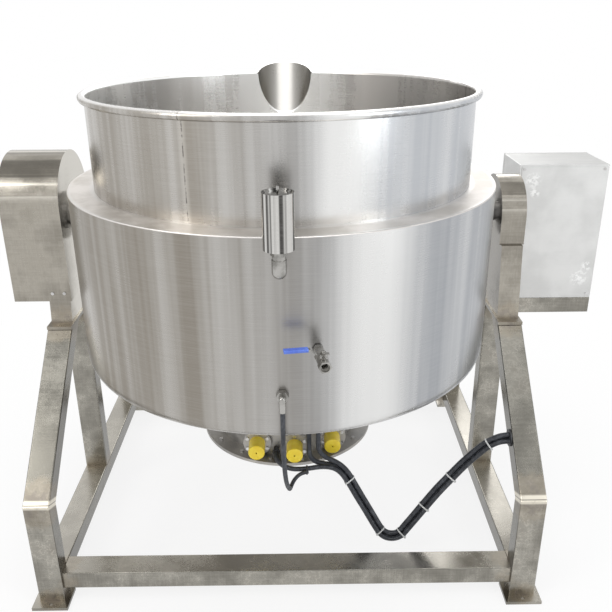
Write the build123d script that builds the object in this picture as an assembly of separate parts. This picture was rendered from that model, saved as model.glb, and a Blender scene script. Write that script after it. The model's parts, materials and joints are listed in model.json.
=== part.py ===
from build123d import *
import os
from math import atan2, cos, hypot, pi, radians, sin, sqrt, tan

# Tilting steam jacketed kettle on a tube frame, electrically heated.
# Millimetres. +Z is up and the floor is Z = 0. It is drawn about the kettle's own axis, and the
# finished pieces move together so that the origin lies on the floor under the trunnions' axis.
# The spout and the operator's side face +Y, and the heaters face -Y.

# ---------------------------------------------------------------- driving dimensions
FIT = 0.2                   # seat gap between welded or seated round pieces
RUNNING_FIT = 0.05          # radial clearance of a shaft in its bearing

RIM_Z = 1415.0              # centre of the rolled rim
POT_R = 542.0               # outside of the inner pot
POT_WALL = 4.0
POT_BEND_Z = 880.0          # where the pot's wall turns into its dished bottom
POT_DISH = 235.0            # depth of that dish
BEAD_R = 10.0               # rolled rim tube

OIL_GAP = 33.0              # from the pot's outside to the oil jacket's outside
OIL_R = POT_R + OIL_GAP
OIL_WALL = 4.0
OIL_TOP_Z = 1100.0
OIL_KNUCKLE_Z = 760.0
OIL_BOTTOM_Z = 625.0

WOOL_GAP = 40.0             # from the oil jacket's outside to the outer shell's outside
JACKET_R = OIL_R + WOOL_GAP
JACKET_WALL = 2.5
SHOULDER_Z = 1170.0         # top of the shoulder plate
SHOULDER_WALL = 3.0
SHELL_EDGE_Z = 645.0        # where the shell's bottom knuckle ends
KNUCKLE_R = 42.0
SHELL_DISH_Z = 590.0        # where the shell's bottom meets the sump

SUMP_R = 227.0              # heater sump under the kettle
SUMP_WALL = 5.0
SUMP_BOTTOM_Z = 345.0
COVER_LIP = 50.0            # bolted plate that closes the sump, beyond the sump's wall
COVER_R = SUMP_R + COVER_LIP
COVER_THICK = 10.0
COVER_BOLT_OUT = 28.0       # the bolt circle beyond the sump's wall
COVER_BOLT_R = SUMP_R + COVER_BOLT_OUT
COVER_BOLTS = 16

HEATER_X = (-90.0, 25.5, 141.5)
HEATER_Z = 389.0
NOZZLE_BORE_R = 22.0
NOZZLE_FACE = 10.0          # thickness of the nozzle's front ring
NOZZLE_WALL = 4.0
NOZZLE_OUT = 12.0           # how far the nozzle stands off the sump
FLANGE_R = 43.0
FLANGE_THICK = 12.0
FLANGE_BOLT_R = 35.0
FLANGE_BOLTS = 6
CAP_R = 25.0
CAP_LENGTH = 54.0
CAP_WALL = 2.5
CAP_HOLE_R = 2.6
ELEMENT_R = 5.0
ELEMENT_LENGTH = 330.0
ELEMENT_GAP = 26.0          # between the two legs of one hairpin

SPOUT_R = 93.0              # inside of the trough
SPOUT_WALL = 3.0
SPOUT_ROOT_DROP = 132.0     # lowest point of the opening in the wall, below the rim
SPOUT_ROOT_Z = RIM_Z - SPOUT_ROOT_DROP
SPOUT_REACH = 118.0         # how far the lip stands off the pot
SPOUT_LIP_RISE = 30.0       # the lip above the rim
SPOUT_LIP_Z = RIM_Z + SPOUT_LIP_RISE
SPOUT_SHOULDER_RISE = 6.0   # top edge of the trough beside the wall
SPOUT_SHOULDER_Z = RIM_Z + SPOUT_SHOULDER_RISE

AXIS_Y = 100.0              # trunnion axis
AXIS_Z = 1030.0
TRUNNION_R = 30.0
TRUNNION_PAD_R = 75.0
PAD_STAND = 13.0            # the pad's face beyond the shell's widest point
PAD_FACE_X = JACKET_R + PAD_STAND
PAD_DEEP = 53.0             # the pad's length before its back is fitted to the shell

TUBE_W = 75.0               # frame tube, wide side
TUBE_D = 55.0               # frame tube, narrow side
TUBE_WALL = 3.0
TUBE_CORNER = 4.0
SIDE_CLEAR = 45.0           # between the shell and a side frame
SIDE_IN = JACKET_R + SIDE_CLEAR
SIDE_X = SIDE_IN + TUBE_W / 2   # middle of each side frame
SIDE_OUT = SIDE_IN + TUBE_W
POST_FRONT_Y = -480.0
KNEE_Z = 348.0
LEG_TOP_FRONT_Y = -88.0
LEG_TOP_Z = 717.0
RAIL_Z = (48.0, 103.0)
BAR_SETBACK = 10.0
CENTRE_POST_FRONT_Y = 72.5
FOOT_OVER = 15.0            # foot plate beyond the tube on each side
FOOT_X = (SIDE_IN - FOOT_OVER, SIDE_OUT + FOOT_OVER)
FOOT_LIP = 28.0             # foot plate ahead of the post, where the floor bolt goes
FOOT_Y = (POST_FRONT_Y - FOOT_LIP, POST_FRONT_Y + TUBE_D)
FOOT_THICK = 10.0
FLOOR_BOLT_R = 5.5
TOP_PLATE_THICK = 10.0
TOP_PLATE_OVER = 4.0

PEDESTAL_SETBACK = 5.0      # from the frame tube's sides
PEDESTAL_HALF = (158.0, 128.0)   # half length along Y at its foot and at its top
PEDESTAL_TOP_Z = 953.0
PEDESTAL_WALL = 6.0

BEARING_W = 46.0
BEARING_R = 52.0
BEARING_FOOT = (216.0, 22.0)
BEARING_BOLT_Y = 82.0
BOLT_R = 6.0                # shank of the frame's bolts

COVER_X = (SIDE_IN, SIDE_OUT)    # arched bearing cover, right side
ARCH_HALF = 116.0
SHEET = 2.0
HOUSING_HALF = 152.0
HOUSING_TOP_Z = 1233.0
HOUSING_BOTTOM_Z = 796.0

GEARBOX_GAP = 5.0           # between the side frame and the gearbox
GEARBOX_DEEP = 86.0
GEARBOX_X = (-SIDE_OUT - GEARBOX_GAP - GEARBOX_DEEP, -SIDE_OUT - GEARBOX_GAP)
GEARBOX_SIDE = 180.0        # square side of the casting
HOUSING_SPARE = 10.0        # between the gearbox and the housing's outer face
HOUSING_X = (GEARBOX_X[0] - HOUSING_SPARE, -SIDE_IN)
GEARBOX_CORNER = 30.0
GEARBOX_WALL = 8.0
WHEEL_R = 45.0
WHEEL_HALF = 20.0           # half width of the worm wheel
WORM_R = 17.0
WORM_HALF = 40.0
WORM_SHAFT_R = 12.0
MOTOR_SHAFT = 40.0          # length of the worm's shaft inside the motor
MOTOR_R = 45.0
MOTOR_BOTTOM_Z = 806.0

BOX_GAP = 10.0              # between the side frame and the control box
BOX_WIDE = 282.0
BOX_X = (SIDE_OUT + BOX_GAP, SIDE_OUT + BOX_GAP + BOX_WIDE)
BOX_Y = (131.0, 315.0)
BOX_Z = (717.0, 1168.0)
DOOR_THICK = 14.0
DOOR_GAP = 1.5
HINGE_R = 5.0
DOOR_SIDE_GAP = 0.3
DISPLAY_DROP = 90.0         # the display's middle below the box's top
DISPLAY_HALF = (45.0, 22.0) # half width and half height
HINGE_INSET = 60.0          # each hinge's middle from the box's top or bottom
HINGE_LENGTH = 50.0
BUTTON_DROP = 200.0         # the buttons' row below the box's top
BUTTON_PITCH = 70.0
STOP_DROP = 100.0           # the stop button below that row
BUTTON_HOLE_R = 11.0

CUP_R = 35.0                # oil filler and breather cup
CUP_OUT = 37.0              # the cup's axis beyond the shell
CUP_Y = -JACKET_R - CUP_OUT
CUP_X = 3.0
CUP_Z = (1155.0, 1280.0)
CUP_WALL = 1.5
NECK_R = 16.5
NECK_Z = 1103.0             # height of the filler neck's entry in the jacket

VALVE_ANGLE = 8.2           # degrees round the jacket from -Y towards +X
VALVE_Z = 896.0
VALVE_BORE_R = 7.5
VALVE_OUT = 40.0            # the valve body's inner end beyond the shell
VALVE_LENGTH = 60.0
VALVE_R = (JACKET_R + VALVE_OUT, JACKET_R + VALVE_OUT + VALVE_LENGTH)
VALVE_HEX = 27.0
LEVER_LENGTH = 86.0
LEVER_THICK = 2.5
LEVER_RISE = 14.0

GLAND_Z = 778.0             # temperature sensor's gland
GLAND_STAND = 25.5          # its elbow beyond the shell
GLAND_OUT = JACKET_R + GLAND_STAND
GLAND_R = 8.5
SENSOR_CABLE_R = 6.0

CONDUIT_R = 8.0
# X, how far the gland's end lies ahead of the sump's radius, and Z
CONDUIT_GLANDS = ((-32.0, 25.0, 366.0), (69.0, 9.0, 447.0), (97.0, 5.0, 466.0))
GLAND_NUT = 21.0            # across flats
LEG_ENTRY = (-323.0, 458.0) # Y and Z where the conduits enter the right leg
TIE_X = 62.0                # first tie, that also holds the sensor's cable
TIE_THICK = 1.2
TIE_WIDE = 5.0
TIE_GAP = 0.7
TIE_MID = (-316.7, 348.2)    # Y and Z between the conduit and the sensor's cable

REAR_FRONT_Y = 2 * AXIS_Y - POST_FRONT_Y      # back face of the rear posts


# ---------------------------------------------------------------- helpers
def block(x, y, z):
    """Box between two corners, given as ranges."""
    size = (x[1] - x[0], y[1] - y[0], z[1] - z[0])
    middle = ((x[0] + x[1]) / 2, (y[0] + y[1]) / 2, (z[0] + z[1]) / 2)
    return Pos(*middle) * Box(*size)


def turned(points):
    """Solid of revolution about Z from corner points of radius and height."""
    return revolve(make_face(Plane.XZ * Polyline(*points, close=True)), Axis.Z)


def rod_y(x, z, radius, y0, y1):
    """Cylinder along Y."""
    return Pos(x, (y0 + y1) / 2, z) * Rot(90, 0, 0) * Cylinder(radius, abs(y1 - y0))


def rod_x(y, z, radius, x0, x1):
    """Cylinder along X."""
    return Pos((x0 + x1) / 2, y, z) * Rot(0, 90, 0) * Cylinder(radius, abs(x1 - x0))


def rod_z(x, y, radius, z0, z1):
    """Cylinder along Z."""
    return Pos(x, y, (z0 + z1) / 2) * Cylinder(radius, abs(z1 - z0))


def hex_z(x, y, flats, z0, z1):
    """Hexagon bar along Z, measured across its flats."""
    bar = extrude(RegularPolygon(flats / 2, 6, major_radius=False), z1 - z0)
    return Pos(x, y, z0) * bar


def hex_y(x, z, flats, y0, y1):
    """Hexagon bar that starts at y0 and runs towards -Y to y1."""
    plane = Plane((x, y0, z), x_dir=(1, 0, 0), z_dir=(0, -1, 0))
    return extrude(plane * RegularPolygon(flats / 2, 6, major_radius=False), y0 - y1)


def side_slab(outline, x0, x1):
    """Extrudes an outline of Y and Z between two X positions."""
    return extrude(Plane.YZ.offset(x0) * outline, x1 - x0)


def mirrored(shape):
    """The same piece on the other side frame."""
    return mirror(shape, Plane.YZ)


def cord_tube(name, points, radius):
    """Round cord along straight runs joined by the largest tangent arcs."""
    corners = [Vector(*p) for p in points]
    radii = []
    for before, here, after in zip(corners, corners[1:], corners[2:]):
        arriving = here - before
        leaving = after - here
        half_turn = radians(arriving.get_angle(leaving)) / 2
        shorter = min(arriving.length, leaving.length)
        radii.append(0.45 * shorter / tan(half_turn))
    path = FilletPolyline(*corners, radius=radii)
    profile = Plane(origin=path @ 0, z_dir=path % 0) * Circle(radius)
    tube = sweep(profile, path=path)
    ratio = tube.volume / (pi * radius ** 2 * path.length)
    print(name, "length", round(path.length, 1), "tightest", round(min(radii), 1),
          "volume ratio", round(ratio, 4))
    return tube


def sump_wall_y(x, radius=SUMP_R):
    """Y of the sump's front at a given X."""
    return -sqrt(radius ** 2 - x ** 2)


parts = {}


# ---------------------------------------------------------------- pot, rim and spout
def pot_dish(radius, depth, z_bend):
    """Solid inside of the pot: a cylinder with an elliptical bottom."""
    top = RIM_Z
    curve = Line((0, top), (radius, top))
    curve += Line((radius, top), (radius, z_bend))
    curve += EllipticalCenterArc((0, z_bend), radius, depth, start_angle=270, arc_size=90)
    curve += Line((0, z_bend - depth), (0, top))
    return revolve(make_face(Plane.XZ * curve), Axis.Z)


trough_rise = SPOUT_LIP_Z - SPOUT_ROOT_Z
trough_run = SPOUT_REACH
trough_long = hypot(trough_rise, trough_run)
trough_axis = Plane(
    origin=(0, POT_R - SPOUT_R * trough_rise / trough_long,
            SPOUT_ROOT_Z + SPOUT_R * trough_run / trough_long),
    x_dir=(1, 0, 0),
    z_dir=(0, trough_run, trough_rise))


def trough_rod(radius):
    """Cylinder of the spout's trough, longer than the spout."""
    return extrude(trough_axis * Circle(radius), 3 * SPOUT_R, both=True)


spout_hole = trough_rod(SPOUT_R) & block((-SPOUT_R, SPOUT_R), (0, 2 * POT_R), (0, 2 * RIM_Z))

pot = pot_dish(POT_R, POT_DISH, POT_BEND_Z)
pot -= pot_dish(POT_R - POT_WALL, POT_DISH - POT_WALL, POT_BEND_Z)
parts["pot"] = pot - spout_hole

bead = Pos(0, 0, RIM_Z) * Torus(POT_R + BEAD_R - POT_WALL, BEAD_R)
bead -= Pos(0, 0, RIM_Z - BEAD_R / 2) * (Cylinder(POT_R + FIT, BEAD_R))
bead_notch = trough_rod(SPOUT_R + SPOUT_WALL + FIT) & block(
    (-2 * SPOUT_R, 2 * SPOUT_R), (0, 2 * POT_R), (0, 2 * RIM_Z))
parts["rim_bead"] = bead - bead_notch

spout = trough_rod(SPOUT_R + SPOUT_WALL) - trough_rod(SPOUT_R)
spout &= block((-2 * SPOUT_R, 2 * SPOUT_R), (POT_R / 2, 2 * POT_R), (0, 2 * RIM_Z))
spout -= Cylinder(POT_R + FIT, 4 * RIM_Z)
lip_plane = Plane(
    origin=(0, POT_R + SPOUT_REACH, SPOUT_LIP_Z),
    x_dir=(1, 0, 0),
    z_dir=(0, -(SPOUT_LIP_Z - SPOUT_SHOULDER_Z), trough_run))
spout -= extrude(lip_plane * Rectangle(8 * SPOUT_R, 8 * SPOUT_R), 4 * SPOUT_R)
parts["pour_spout"] = spout


# ---------------------------------------------------------------- outer shell
shoulder = turned([
    (POT_R + FIT, SHOULDER_Z - SHOULDER_WALL), (JACKET_R, SHOULDER_Z - SHOULDER_WALL),
    (JACKET_R, SHOULDER_Z), (POT_R + FIT, SHOULDER_Z)])
outer_edge = shoulder.edges().filter_by(GeomType.CIRCLE).sort_by(Axis.Z)[-2:].sort_by(SortBy.RADIUS)[-1]
parts["shoulder_ring"] = fillet(outer_edge, SHOULDER_WALL * 0.8)

shell_top = SHOULDER_Z - SHOULDER_WALL


def shell_profile(inset):
    """Outline of the shell's closed body, from the wall over the knuckle to the sump."""
    wall_r = JACKET_R - inset
    knuckle = KNUCKLE_R - inset
    knuckle_z = SHELL_EDGE_Z + KNUCKLE_R
    sump_r = SUMP_R + FIT
    curve = Polyline((0, shell_top), (wall_r, shell_top), (wall_r, knuckle_z))
    curve += CenterArc((wall_r - knuckle, knuckle_z), knuckle, 0, -80)
    start = curve @ 1
    curve += Polyline((start.X, start.Y), (sump_r, SHELL_DISH_Z + inset), (0, SHELL_DISH_Z + inset),
                      (0, shell_top))
    return make_face(Plane.XZ * curve)


shell = revolve(shell_profile(0), Axis.Z) - revolve(shell_profile(JACKET_WALL), Axis.Z)
shell -= Pos(0, 0, SHELL_DISH_Z) * Cylinder(SUMP_R + FIT, 4 * KNUCKLE_R)
neck_hole = rod_y(CUP_X, NECK_Z, NECK_R + FIT, -JACKET_R - BEAD_R, -OIL_R)
gland_hole = rod_y(CUP_X, GLAND_Z, GLAND_R + FIT, -JACKET_R - BEAD_R, -OIL_R)
valve_way = Rot(0, 0, VALVE_ANGLE) * rod_y(
    0, VALVE_Z, VALVE_BORE_R + 3 + FIT, -JACKET_R - BEAD_R, -OIL_R)
parts["jacket_shell"] = shell - neck_hole - gland_hole - valve_way

oil_outer = turned([
    (0, OIL_TOP_Z), (OIL_R, OIL_TOP_Z), (OIL_R, OIL_KNUCKLE_Z),
    (SUMP_R + FIT, OIL_BOTTOM_Z), (0, OIL_BOTTOM_Z)])
oil_inner = turned([
    (0, OIL_TOP_Z - OIL_WALL), (OIL_R - OIL_WALL, OIL_TOP_Z - OIL_WALL),
    (OIL_R - OIL_WALL, OIL_KNUCKLE_Z + OIL_WALL / 2),
    (SUMP_R + FIT, OIL_BOTTOM_Z + OIL_WALL), (0, OIL_BOTTOM_Z + OIL_WALL)])
oil_jacket = oil_outer - oil_inner
oil_jacket -= Pos(0, 0, OIL_TOP_Z) * Cylinder(POT_R + FIT, 10 * OIL_WALL)
oil_jacket -= Pos(0, 0, OIL_BOTTOM_Z) * Cylinder(SUMP_R + FIT, 10 * OIL_WALL)
parts["oil_jacket"] = oil_jacket

WOOL_Z = (SHELL_EDGE_Z + 2 * KNUCKLE_R, shell_top - FIT)
wool = turned([
    (OIL_R + FIT, WOOL_Z[0]), (JACKET_R - JACKET_WALL - FIT, WOOL_Z[0]),
    (JACKET_R - JACKET_WALL - FIT, WOOL_Z[1]), (OIL_R + FIT, WOOL_Z[1])])
parts["insulation"] = wool - neck_hole - gland_hole - valve_way


# ---------------------------------------------------------------- sump and heaters
sump = turned([
    (SUMP_R - SUMP_WALL, SUMP_BOTTOM_Z), (SUMP_R, SUMP_BOTTOM_Z),
    (SUMP_R, OIL_BOTTOM_Z + 2 * OIL_WALL), (SUMP_R - SUMP_WALL, OIL_BOTTOM_Z + 2 * OIL_WALL)])
nozzles = []
flanges = []
flange_bolts = []
elements = []
caps = []
for x in HEATER_X:
    wall_y = sump_wall_y(x)
    back_y = sump_wall_y(abs(x) + FLANGE_R) + 2 * SUMP_WALL
    face_y = wall_y - NOZZLE_OUT
    sump -= rod_y(x, HEATER_Z, FLANGE_R + FIT, face_y - 2 * FLANGE_THICK, back_y + FLANGE_R)
    stub = rod_y(x, HEATER_Z, FLANGE_R, face_y, back_y)
    stub -= rod_y(x, HEATER_Z, FLANGE_R - NOZZLE_WALL, face_y + NOZZLE_FACE, back_y)
    stub -= rod_y(x, HEATER_Z, NOZZLE_BORE_R, face_y, back_y)
    nozzles.append(stub)
    flange_y = face_y - FLANGE_THICK
    flange = rod_y(x, HEATER_Z, FLANGE_R, flange_y, face_y)
    for k in range(FLANGE_BOLTS):
        a = radians(30 + 360 * k / FLANGE_BOLTS)
        bx = x + FLANGE_BOLT_R * cos(a)
        bz = HEATER_Z + FLANGE_BOLT_R * sin(a)
        flange -= rod_y(bx, bz, 3.2, flange_y, face_y)
        bolt = rod_y(bx, bz, 3.0, flange_y, face_y - 1)
        flange_bolts.append(bolt + hex_y(bx, bz, 10, flange_y, flange_y - 4))
    flanges.append(flange)
    cap = rod_y(x, HEATER_Z, CAP_R, flange_y - CAP_LENGTH, flange_y)
    rim = cap.edges().filter_by(GeomType.CIRCLE).sort_by(Axis.Y)[0]
    cap = fillet(rim, 3)
    cap -= rod_y(x, HEATER_Z, CAP_R - CAP_WALL, flange_y - CAP_LENGTH + CAP_WALL, flange_y)
    cap -= rod_y(x, HEATER_Z, CAP_HOLE_R, flange_y - CAP_LENGTH, flange_y)
    caps.append(cap)
    root_y = face_y + FIT
    hairpin = rod_y(x - ELEMENT_GAP / 2, HEATER_Z, ELEMENT_R, root_y, root_y + ELEMENT_LENGTH)
    hairpin += rod_y(x + ELEMENT_GAP / 2, HEATER_Z, ELEMENT_R, root_y, root_y + ELEMENT_LENGTH)
    bend = Pos(x, root_y + ELEMENT_LENGTH, HEATER_Z) * Torus(ELEMENT_GAP / 2, ELEMENT_R)
    bend &= block((x - 3 * ELEMENT_GAP, x + 3 * ELEMENT_GAP),
                  (root_y + ELEMENT_LENGTH, root_y + ELEMENT_LENGTH + ELEMENT_GAP),
                  (HEATER_Z - ELEMENT_GAP, HEATER_Z + ELEMENT_GAP))
    elements.append(hairpin + bend)
glands = []
for x, stand, z in CONDUIT_GLANDS:
    end_y = -SUMP_R - stand
    sump -= rod_y(x, z, CONDUIT_R + FIT, end_y, sump_wall_y(x) + 4 * CONDUIT_R)
    gland = rod_y(x, z, CONDUIT_R, end_y, sump_wall_y(x) + 3 * CONDUIT_R)
    gland += hex_y(x, z, GLAND_NUT, end_y + CONDUIT_R, end_y)
    glands.append(gland)
parts["sump_wall"] = sump
parts["heater_nozzles"] = Compound(children=nozzles)
parts["heater_flanges"] = Compound(children=flanges)
parts["heater_bolts"] = Compound(children=flange_bolts)
parts["heater_elements"] = Compound(children=elements)
parts["terminal_caps"] = Compound(children=caps)
parts["conduit_glands"] = Compound(children=glands)

cover = Pos(0, 0, SUMP_BOTTOM_Z - COVER_THICK / 2) * Cylinder(COVER_R, COVER_THICK)
cover_bolts = []
for k in range(COVER_BOLTS):
    a = radians(360 * (k + 0.5) / COVER_BOLTS)
    bx = COVER_BOLT_R * cos(a)
    by = COVER_BOLT_R * sin(a)
    cover -= rod_z(bx, by, BOLT_R / 2 + 0.5, SUMP_BOTTOM_Z - COVER_THICK, SUMP_BOTTOM_Z)
    bolt = rod_z(bx, by, BOLT_R / 2 + 0.3, SUMP_BOTTOM_Z - COVER_THICK, SUMP_BOTTOM_Z)
    bolt += hex_z(bx, by, 11, SUMP_BOTTOM_Z, SUMP_BOTTOM_Z + 5)
    bolt += hex_z(bx, by, 11, SUMP_BOTTOM_Z - COVER_THICK - 4.5, SUMP_BOTTOM_Z - COVER_THICK)
    cover_bolts.append(bolt)
parts["sump_cover"] = cover
parts["sump_bolts"] = Compound(children=cover_bolts)


# ---------------------------------------------------------------- trunnions
def trunnion(shaft_end):
    """Saddle pad that fits the shell's curve, with the shaft the kettle turns on."""
    pad = rod_x(AXIS_Y, AXIS_Z, TRUNNION_PAD_R, PAD_FACE_X - PAD_DEEP, PAD_FACE_X)
    pad -= Pos(0, 0, AXIS_Z) * Cylinder(JACKET_R + FIT, 4 * TRUNNION_PAD_R)
    collar = rod_x(AXIS_Y, AXIS_Z, TRUNNION_R + 12, PAD_FACE_X, PAD_FACE_X + 12)
    return pad + collar + rod_x(AXIS_Y, AXIS_Z, TRUNNION_R, PAD_FACE_X, shaft_end)


right_trunnion = trunnion(SIDE_X + BEARING_W / 2 + 6)
left_trunnion = mirrored(trunnion(-GEARBOX_X[0] - 6))
parts["trunnions"] = Compound(children=[right_trunnion, left_trunnion])


# ---------------------------------------------------------------- filler cup
cup = rod_z(CUP_X, CUP_Y, CUP_R, *CUP_Z) - rod_z(
    CUP_X, CUP_Y, CUP_R - CUP_WALL, CUP_Z[0] + 2, CUP_Z[1])
cup -= rod_z(CUP_X, CUP_Y, NECK_R - 4, CUP_Z[0], CUP_Z[0] + 2)
parts["filler_cup"] = cup
lid = rod_z(CUP_X, CUP_Y, CUP_R - CUP_WALL - FIT, CUP_Z[1] - 8, CUP_Z[1] - 5)
lid += rod_z(CUP_X, CUP_Y, CUP_R - CUP_WALL - FIT, CUP_Z[1] - 8, CUP_Z[1] - 3) - rod_z(
    CUP_X, CUP_Y, CUP_R - CUP_WALL - 3, CUP_Z[1] - 8, CUP_Z[1] - 3)
lid += rod_z(CUP_X, CUP_Y - 8, 3, CUP_Z[1] - 5, CUP_Z[1] + 14)
parts["filler_cup_lid"] = lid

neck = hex_z(CUP_X, CUP_Y, 2 * NECK_R, CUP_Z[0] - 14, CUP_Z[0])
neck += rod_z(CUP_X, CUP_Y, NECK_R - 1.5, CUP_Z[0] - 24, CUP_Z[0] - 14)
neck += rod_z(CUP_X, CUP_Y, NECK_R, NECK_Z, CUP_Z[0] - 24)
neck += Pos(CUP_X, CUP_Y, NECK_Z) * Sphere(NECK_R)
neck += rod_y(CUP_X, NECK_Z, NECK_R, CUP_Y, -OIL_R - FIT)
bore_r = NECK_R - 4
neck -= rod_z(CUP_X, CUP_Y, bore_r, NECK_Z, CUP_Z[0])
neck -= Pos(CUP_X, CUP_Y, NECK_Z) * Sphere(bore_r)
neck -= rod_y(CUP_X, NECK_Z, bore_r, CUP_Y, -OIL_R - FIT)
parts["filler_neck"] = neck


# ---------------------------------------------------------------- sensor
gland_nut_y = -JACKET_R - 16
sensor = rod_y(CUP_X, GLAND_Z, GLAND_R, -GLAND_OUT, -OIL_R - FIT)
sensor += hex_y(CUP_X, GLAND_Z, 27, -JACKET_R - 1, gland_nut_y)
sensor += Pos(CUP_X, -GLAND_OUT, GLAND_Z) * Sphere(GLAND_R)
sensor += rod_z(CUP_X, -GLAND_OUT, GLAND_R, GLAND_Z - 34, GLAND_Z)
parts["sensor_gland"] = sensor

SENSOR_ROUTE = [
    (3, -640.5, 744), (3, -640.5, 700), (3, -639, 640), (4, -624, 576), (6, -592, 514),
    (9, -542, 458), (11, -486, 409), (12, -436, 369), (13, -400, 344), (16, -370, 333),
    (23, -345, 332), (35, -330, 338), (50, -325.6, 344.5), (67, -324.6, 347.8)]
parts["sensor_cable"] = cord_tube("sensor_cable", SENSOR_ROUTE, SENSOR_CABLE_R)


# ---------------------------------------------------------------- ball valve
def on_valve(shape):
    """Turns a piece built on the -Y line to the valve's place on the jacket."""
    return Rot(0, 0, VALVE_ANGLE) * shape


nipple = rod_y(0, VALVE_Z, VALVE_BORE_R + 3, -VALVE_R[0] - 10, -OIL_R - FIT)
nipple -= rod_y(0, VALVE_Z, VALVE_BORE_R, -VALVE_R[0] - 10, -OIL_R - FIT)
nipple += hex_y(0, VALVE_Z, 24, -JACKET_R - 4, -JACKET_R - 14) - rod_y(
    0, VALVE_Z, VALVE_BORE_R, -VALVE_R[0], -OIL_R)
parts["valve_nipple"] = on_valve(nipple)

valve_mid = -(VALVE_R[0] + VALVE_R[1]) / 2
ball_r = 11.0
stem_r = 4.0
body = hex_y(0, VALVE_Z, VALVE_HEX, -VALVE_R[0], -VALVE_R[0] - 16)
body += hex_y(0, VALVE_Z, VALVE_HEX, -VALVE_R[1] + 16, -VALVE_R[1])
body += rod_y(0, VALVE_Z, VALVE_HEX / 2, -VALVE_R[1] + 10, -VALVE_R[0] - 10)
body += rod_z(0, valve_mid, 9, VALVE_Z, VALVE_Z + VALVE_HEX / 2 + 4)
body -= rod_y(0, VALVE_Z, VALVE_BORE_R, -VALVE_R[1], -VALVE_R[0])
body -= rod_y(0, VALVE_Z, VALVE_BORE_R + 3 + FIT, -VALVE_R[0] - 10 - FIT, -VALVE_R[0])
body -= rod_y(0, VALVE_Z, VALVE_BORE_R + 3 + FIT, -VALVE_R[1], -VALVE_R[1] + 10)
body -= Pos(0, valve_mid, VALVE_Z) * Sphere(ball_r + FIT + 0.1)
body -= rod_z(0, valve_mid, stem_r + RUNNING_FIT, VALVE_Z, VALVE_Z + VALVE_HEX)
parts["valve_body"] = on_valve(body)

lever_z = VALVE_Z + VALVE_HEX / 2 + 5
stem = Pos(0, valve_mid, VALVE_Z) * Sphere(ball_r)
stem -= rod_x(valve_mid, VALVE_Z, VALVE_BORE_R, -2 * ball_r, 2 * ball_r)
stem += rod_z(0, valve_mid, stem_r, VALVE_Z + VALVE_BORE_R + 1, lever_z + LEVER_THICK + 8)
stem += hex_z(0, valve_mid, 12, lever_z + LEVER_THICK, lever_z + LEVER_THICK + 5)
parts["valve_stem"] = on_valve(stem)

grip_z = lever_z + LEVER_RISE
lever_line = [
    (14, lever_z), (-14, lever_z), (-30, grip_z), (-LEVER_LENGTH, grip_z)]
upper = [(x, z + LEVER_THICK) for x, z in reversed(lever_line)]
lever = extrude(Plane.XZ.offset(-valve_mid) * make_face(Polyline(*lever_line, *upper, close=True)),
                5.5, both=True)
lever += rod_z(0, valve_mid, 10, lever_z, lever_z + LEVER_THICK)
lever -= rod_z(0, valve_mid, stem_r + FIT, lever_z, lever_z + LEVER_THICK)
parts["valve_lever"] = on_valve(lever)

sleeve = block((-LEVER_LENGTH - 3, -34), (valve_mid - 8.5, valve_mid + 8.5),
               (grip_z - 2.5, grip_z + LEVER_THICK + 2.5))
sleeve = fillet(sleeve.edges().filter_by(Axis.X), 2.4)
sleeve -= block((-LEVER_LENGTH - FIT, 0), (valve_mid - 5.5 - FIT, valve_mid + 5.5 + FIT),
                (grip_z - FIT, grip_z + LEVER_THICK + FIT))
parts["lever_sleeve"] = on_valve(sleeve)


# ---------------------------------------------------------------- frame
def knee_leg(inset):
    """Outline of a front leg: a post, a mitred knee and a slope, drawn in Y and Z."""
    lean = atan2(LEG_TOP_FRONT_Y - POST_FRONT_Y, LEG_TOP_Z - KNEE_Z)
    front_y = POST_FRONT_Y + inset
    depth = TUBE_D - 2 * inset
    knee_front = KNEE_Z - inset * tan(lean / 2)
    knee_back = knee_front - depth * tan(lean / 2)
    top_front = front_y + (LEG_TOP_Z - knee_front) * tan(lean)
    top_back = top_front + depth / cos(lean)
    return make_face(Polyline(
        (front_y, FOOT_THICK), (front_y, knee_front), (top_front, LEG_TOP_Z),
        (top_back, LEG_TOP_Z), (front_y + depth, knee_back), (front_y + depth, FOOT_THICK),
        close=True))


leg = side_slab(knee_leg(0), SIDE_IN, SIDE_OUT)
corners = [e for e in leg.edges() if abs(abs(e.center().X - SIDE_X) - TUBE_W / 2) < FIT
           and abs((e @ 1).Z - (e @ 0).Z) > TUBE_D]
leg = fillet(corners, TUBE_CORNER)
leg -= side_slab(knee_leg(TUBE_WALL), SIDE_IN + TUBE_WALL, SIDE_OUT - TUBE_WALL)
half_turn = Plane.XZ.offset(-AXIS_Y)
rear_leg = mirror(leg, half_turn)
GROMMET_R = 22.0
right_leg = leg - rod_x(*LEG_ENTRY, GROMMET_R, SIDE_IN - 1, SIDE_IN + TUBE_WALL + 1)
parts["front_legs"] = Compound(children=[right_leg, mirrored(leg)])
parts["rear_legs"] = Compound(children=[rear_leg, mirrored(rear_leg)])

grommet = rod_x(*LEG_ENTRY, GROMMET_R - FIT, SIDE_IN - 4, SIDE_IN + TUBE_WALL + 2)
grommet += rod_x(*LEG_ENTRY, GROMMET_R + 3, SIDE_IN - 4, SIDE_IN)
strand_spots = ((-8.5, -6.4), (8.5, -6.4), (0.0, 10.0))
for dy, dz in strand_spots:
    grommet -= rod_x(LEG_ENTRY[0] + dy, LEG_ENTRY[1] + dz, CONDUIT_R + 0.3,
                     SIDE_IN - 10, SIDE_IN + 10)
parts["leg_grommet"] = grommet


def hollow_bar(length, wide, deep):
    """Straight rectangular tube along Z, standing on its end."""
    outline = RectangleRounded(wide, deep, TUBE_CORNER)
    outline -= RectangleRounded(wide - 2 * TUBE_WALL, deep - 2 * TUBE_WALL, TUBE_CORNER / 3)
    return extrude(outline, length)


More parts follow.
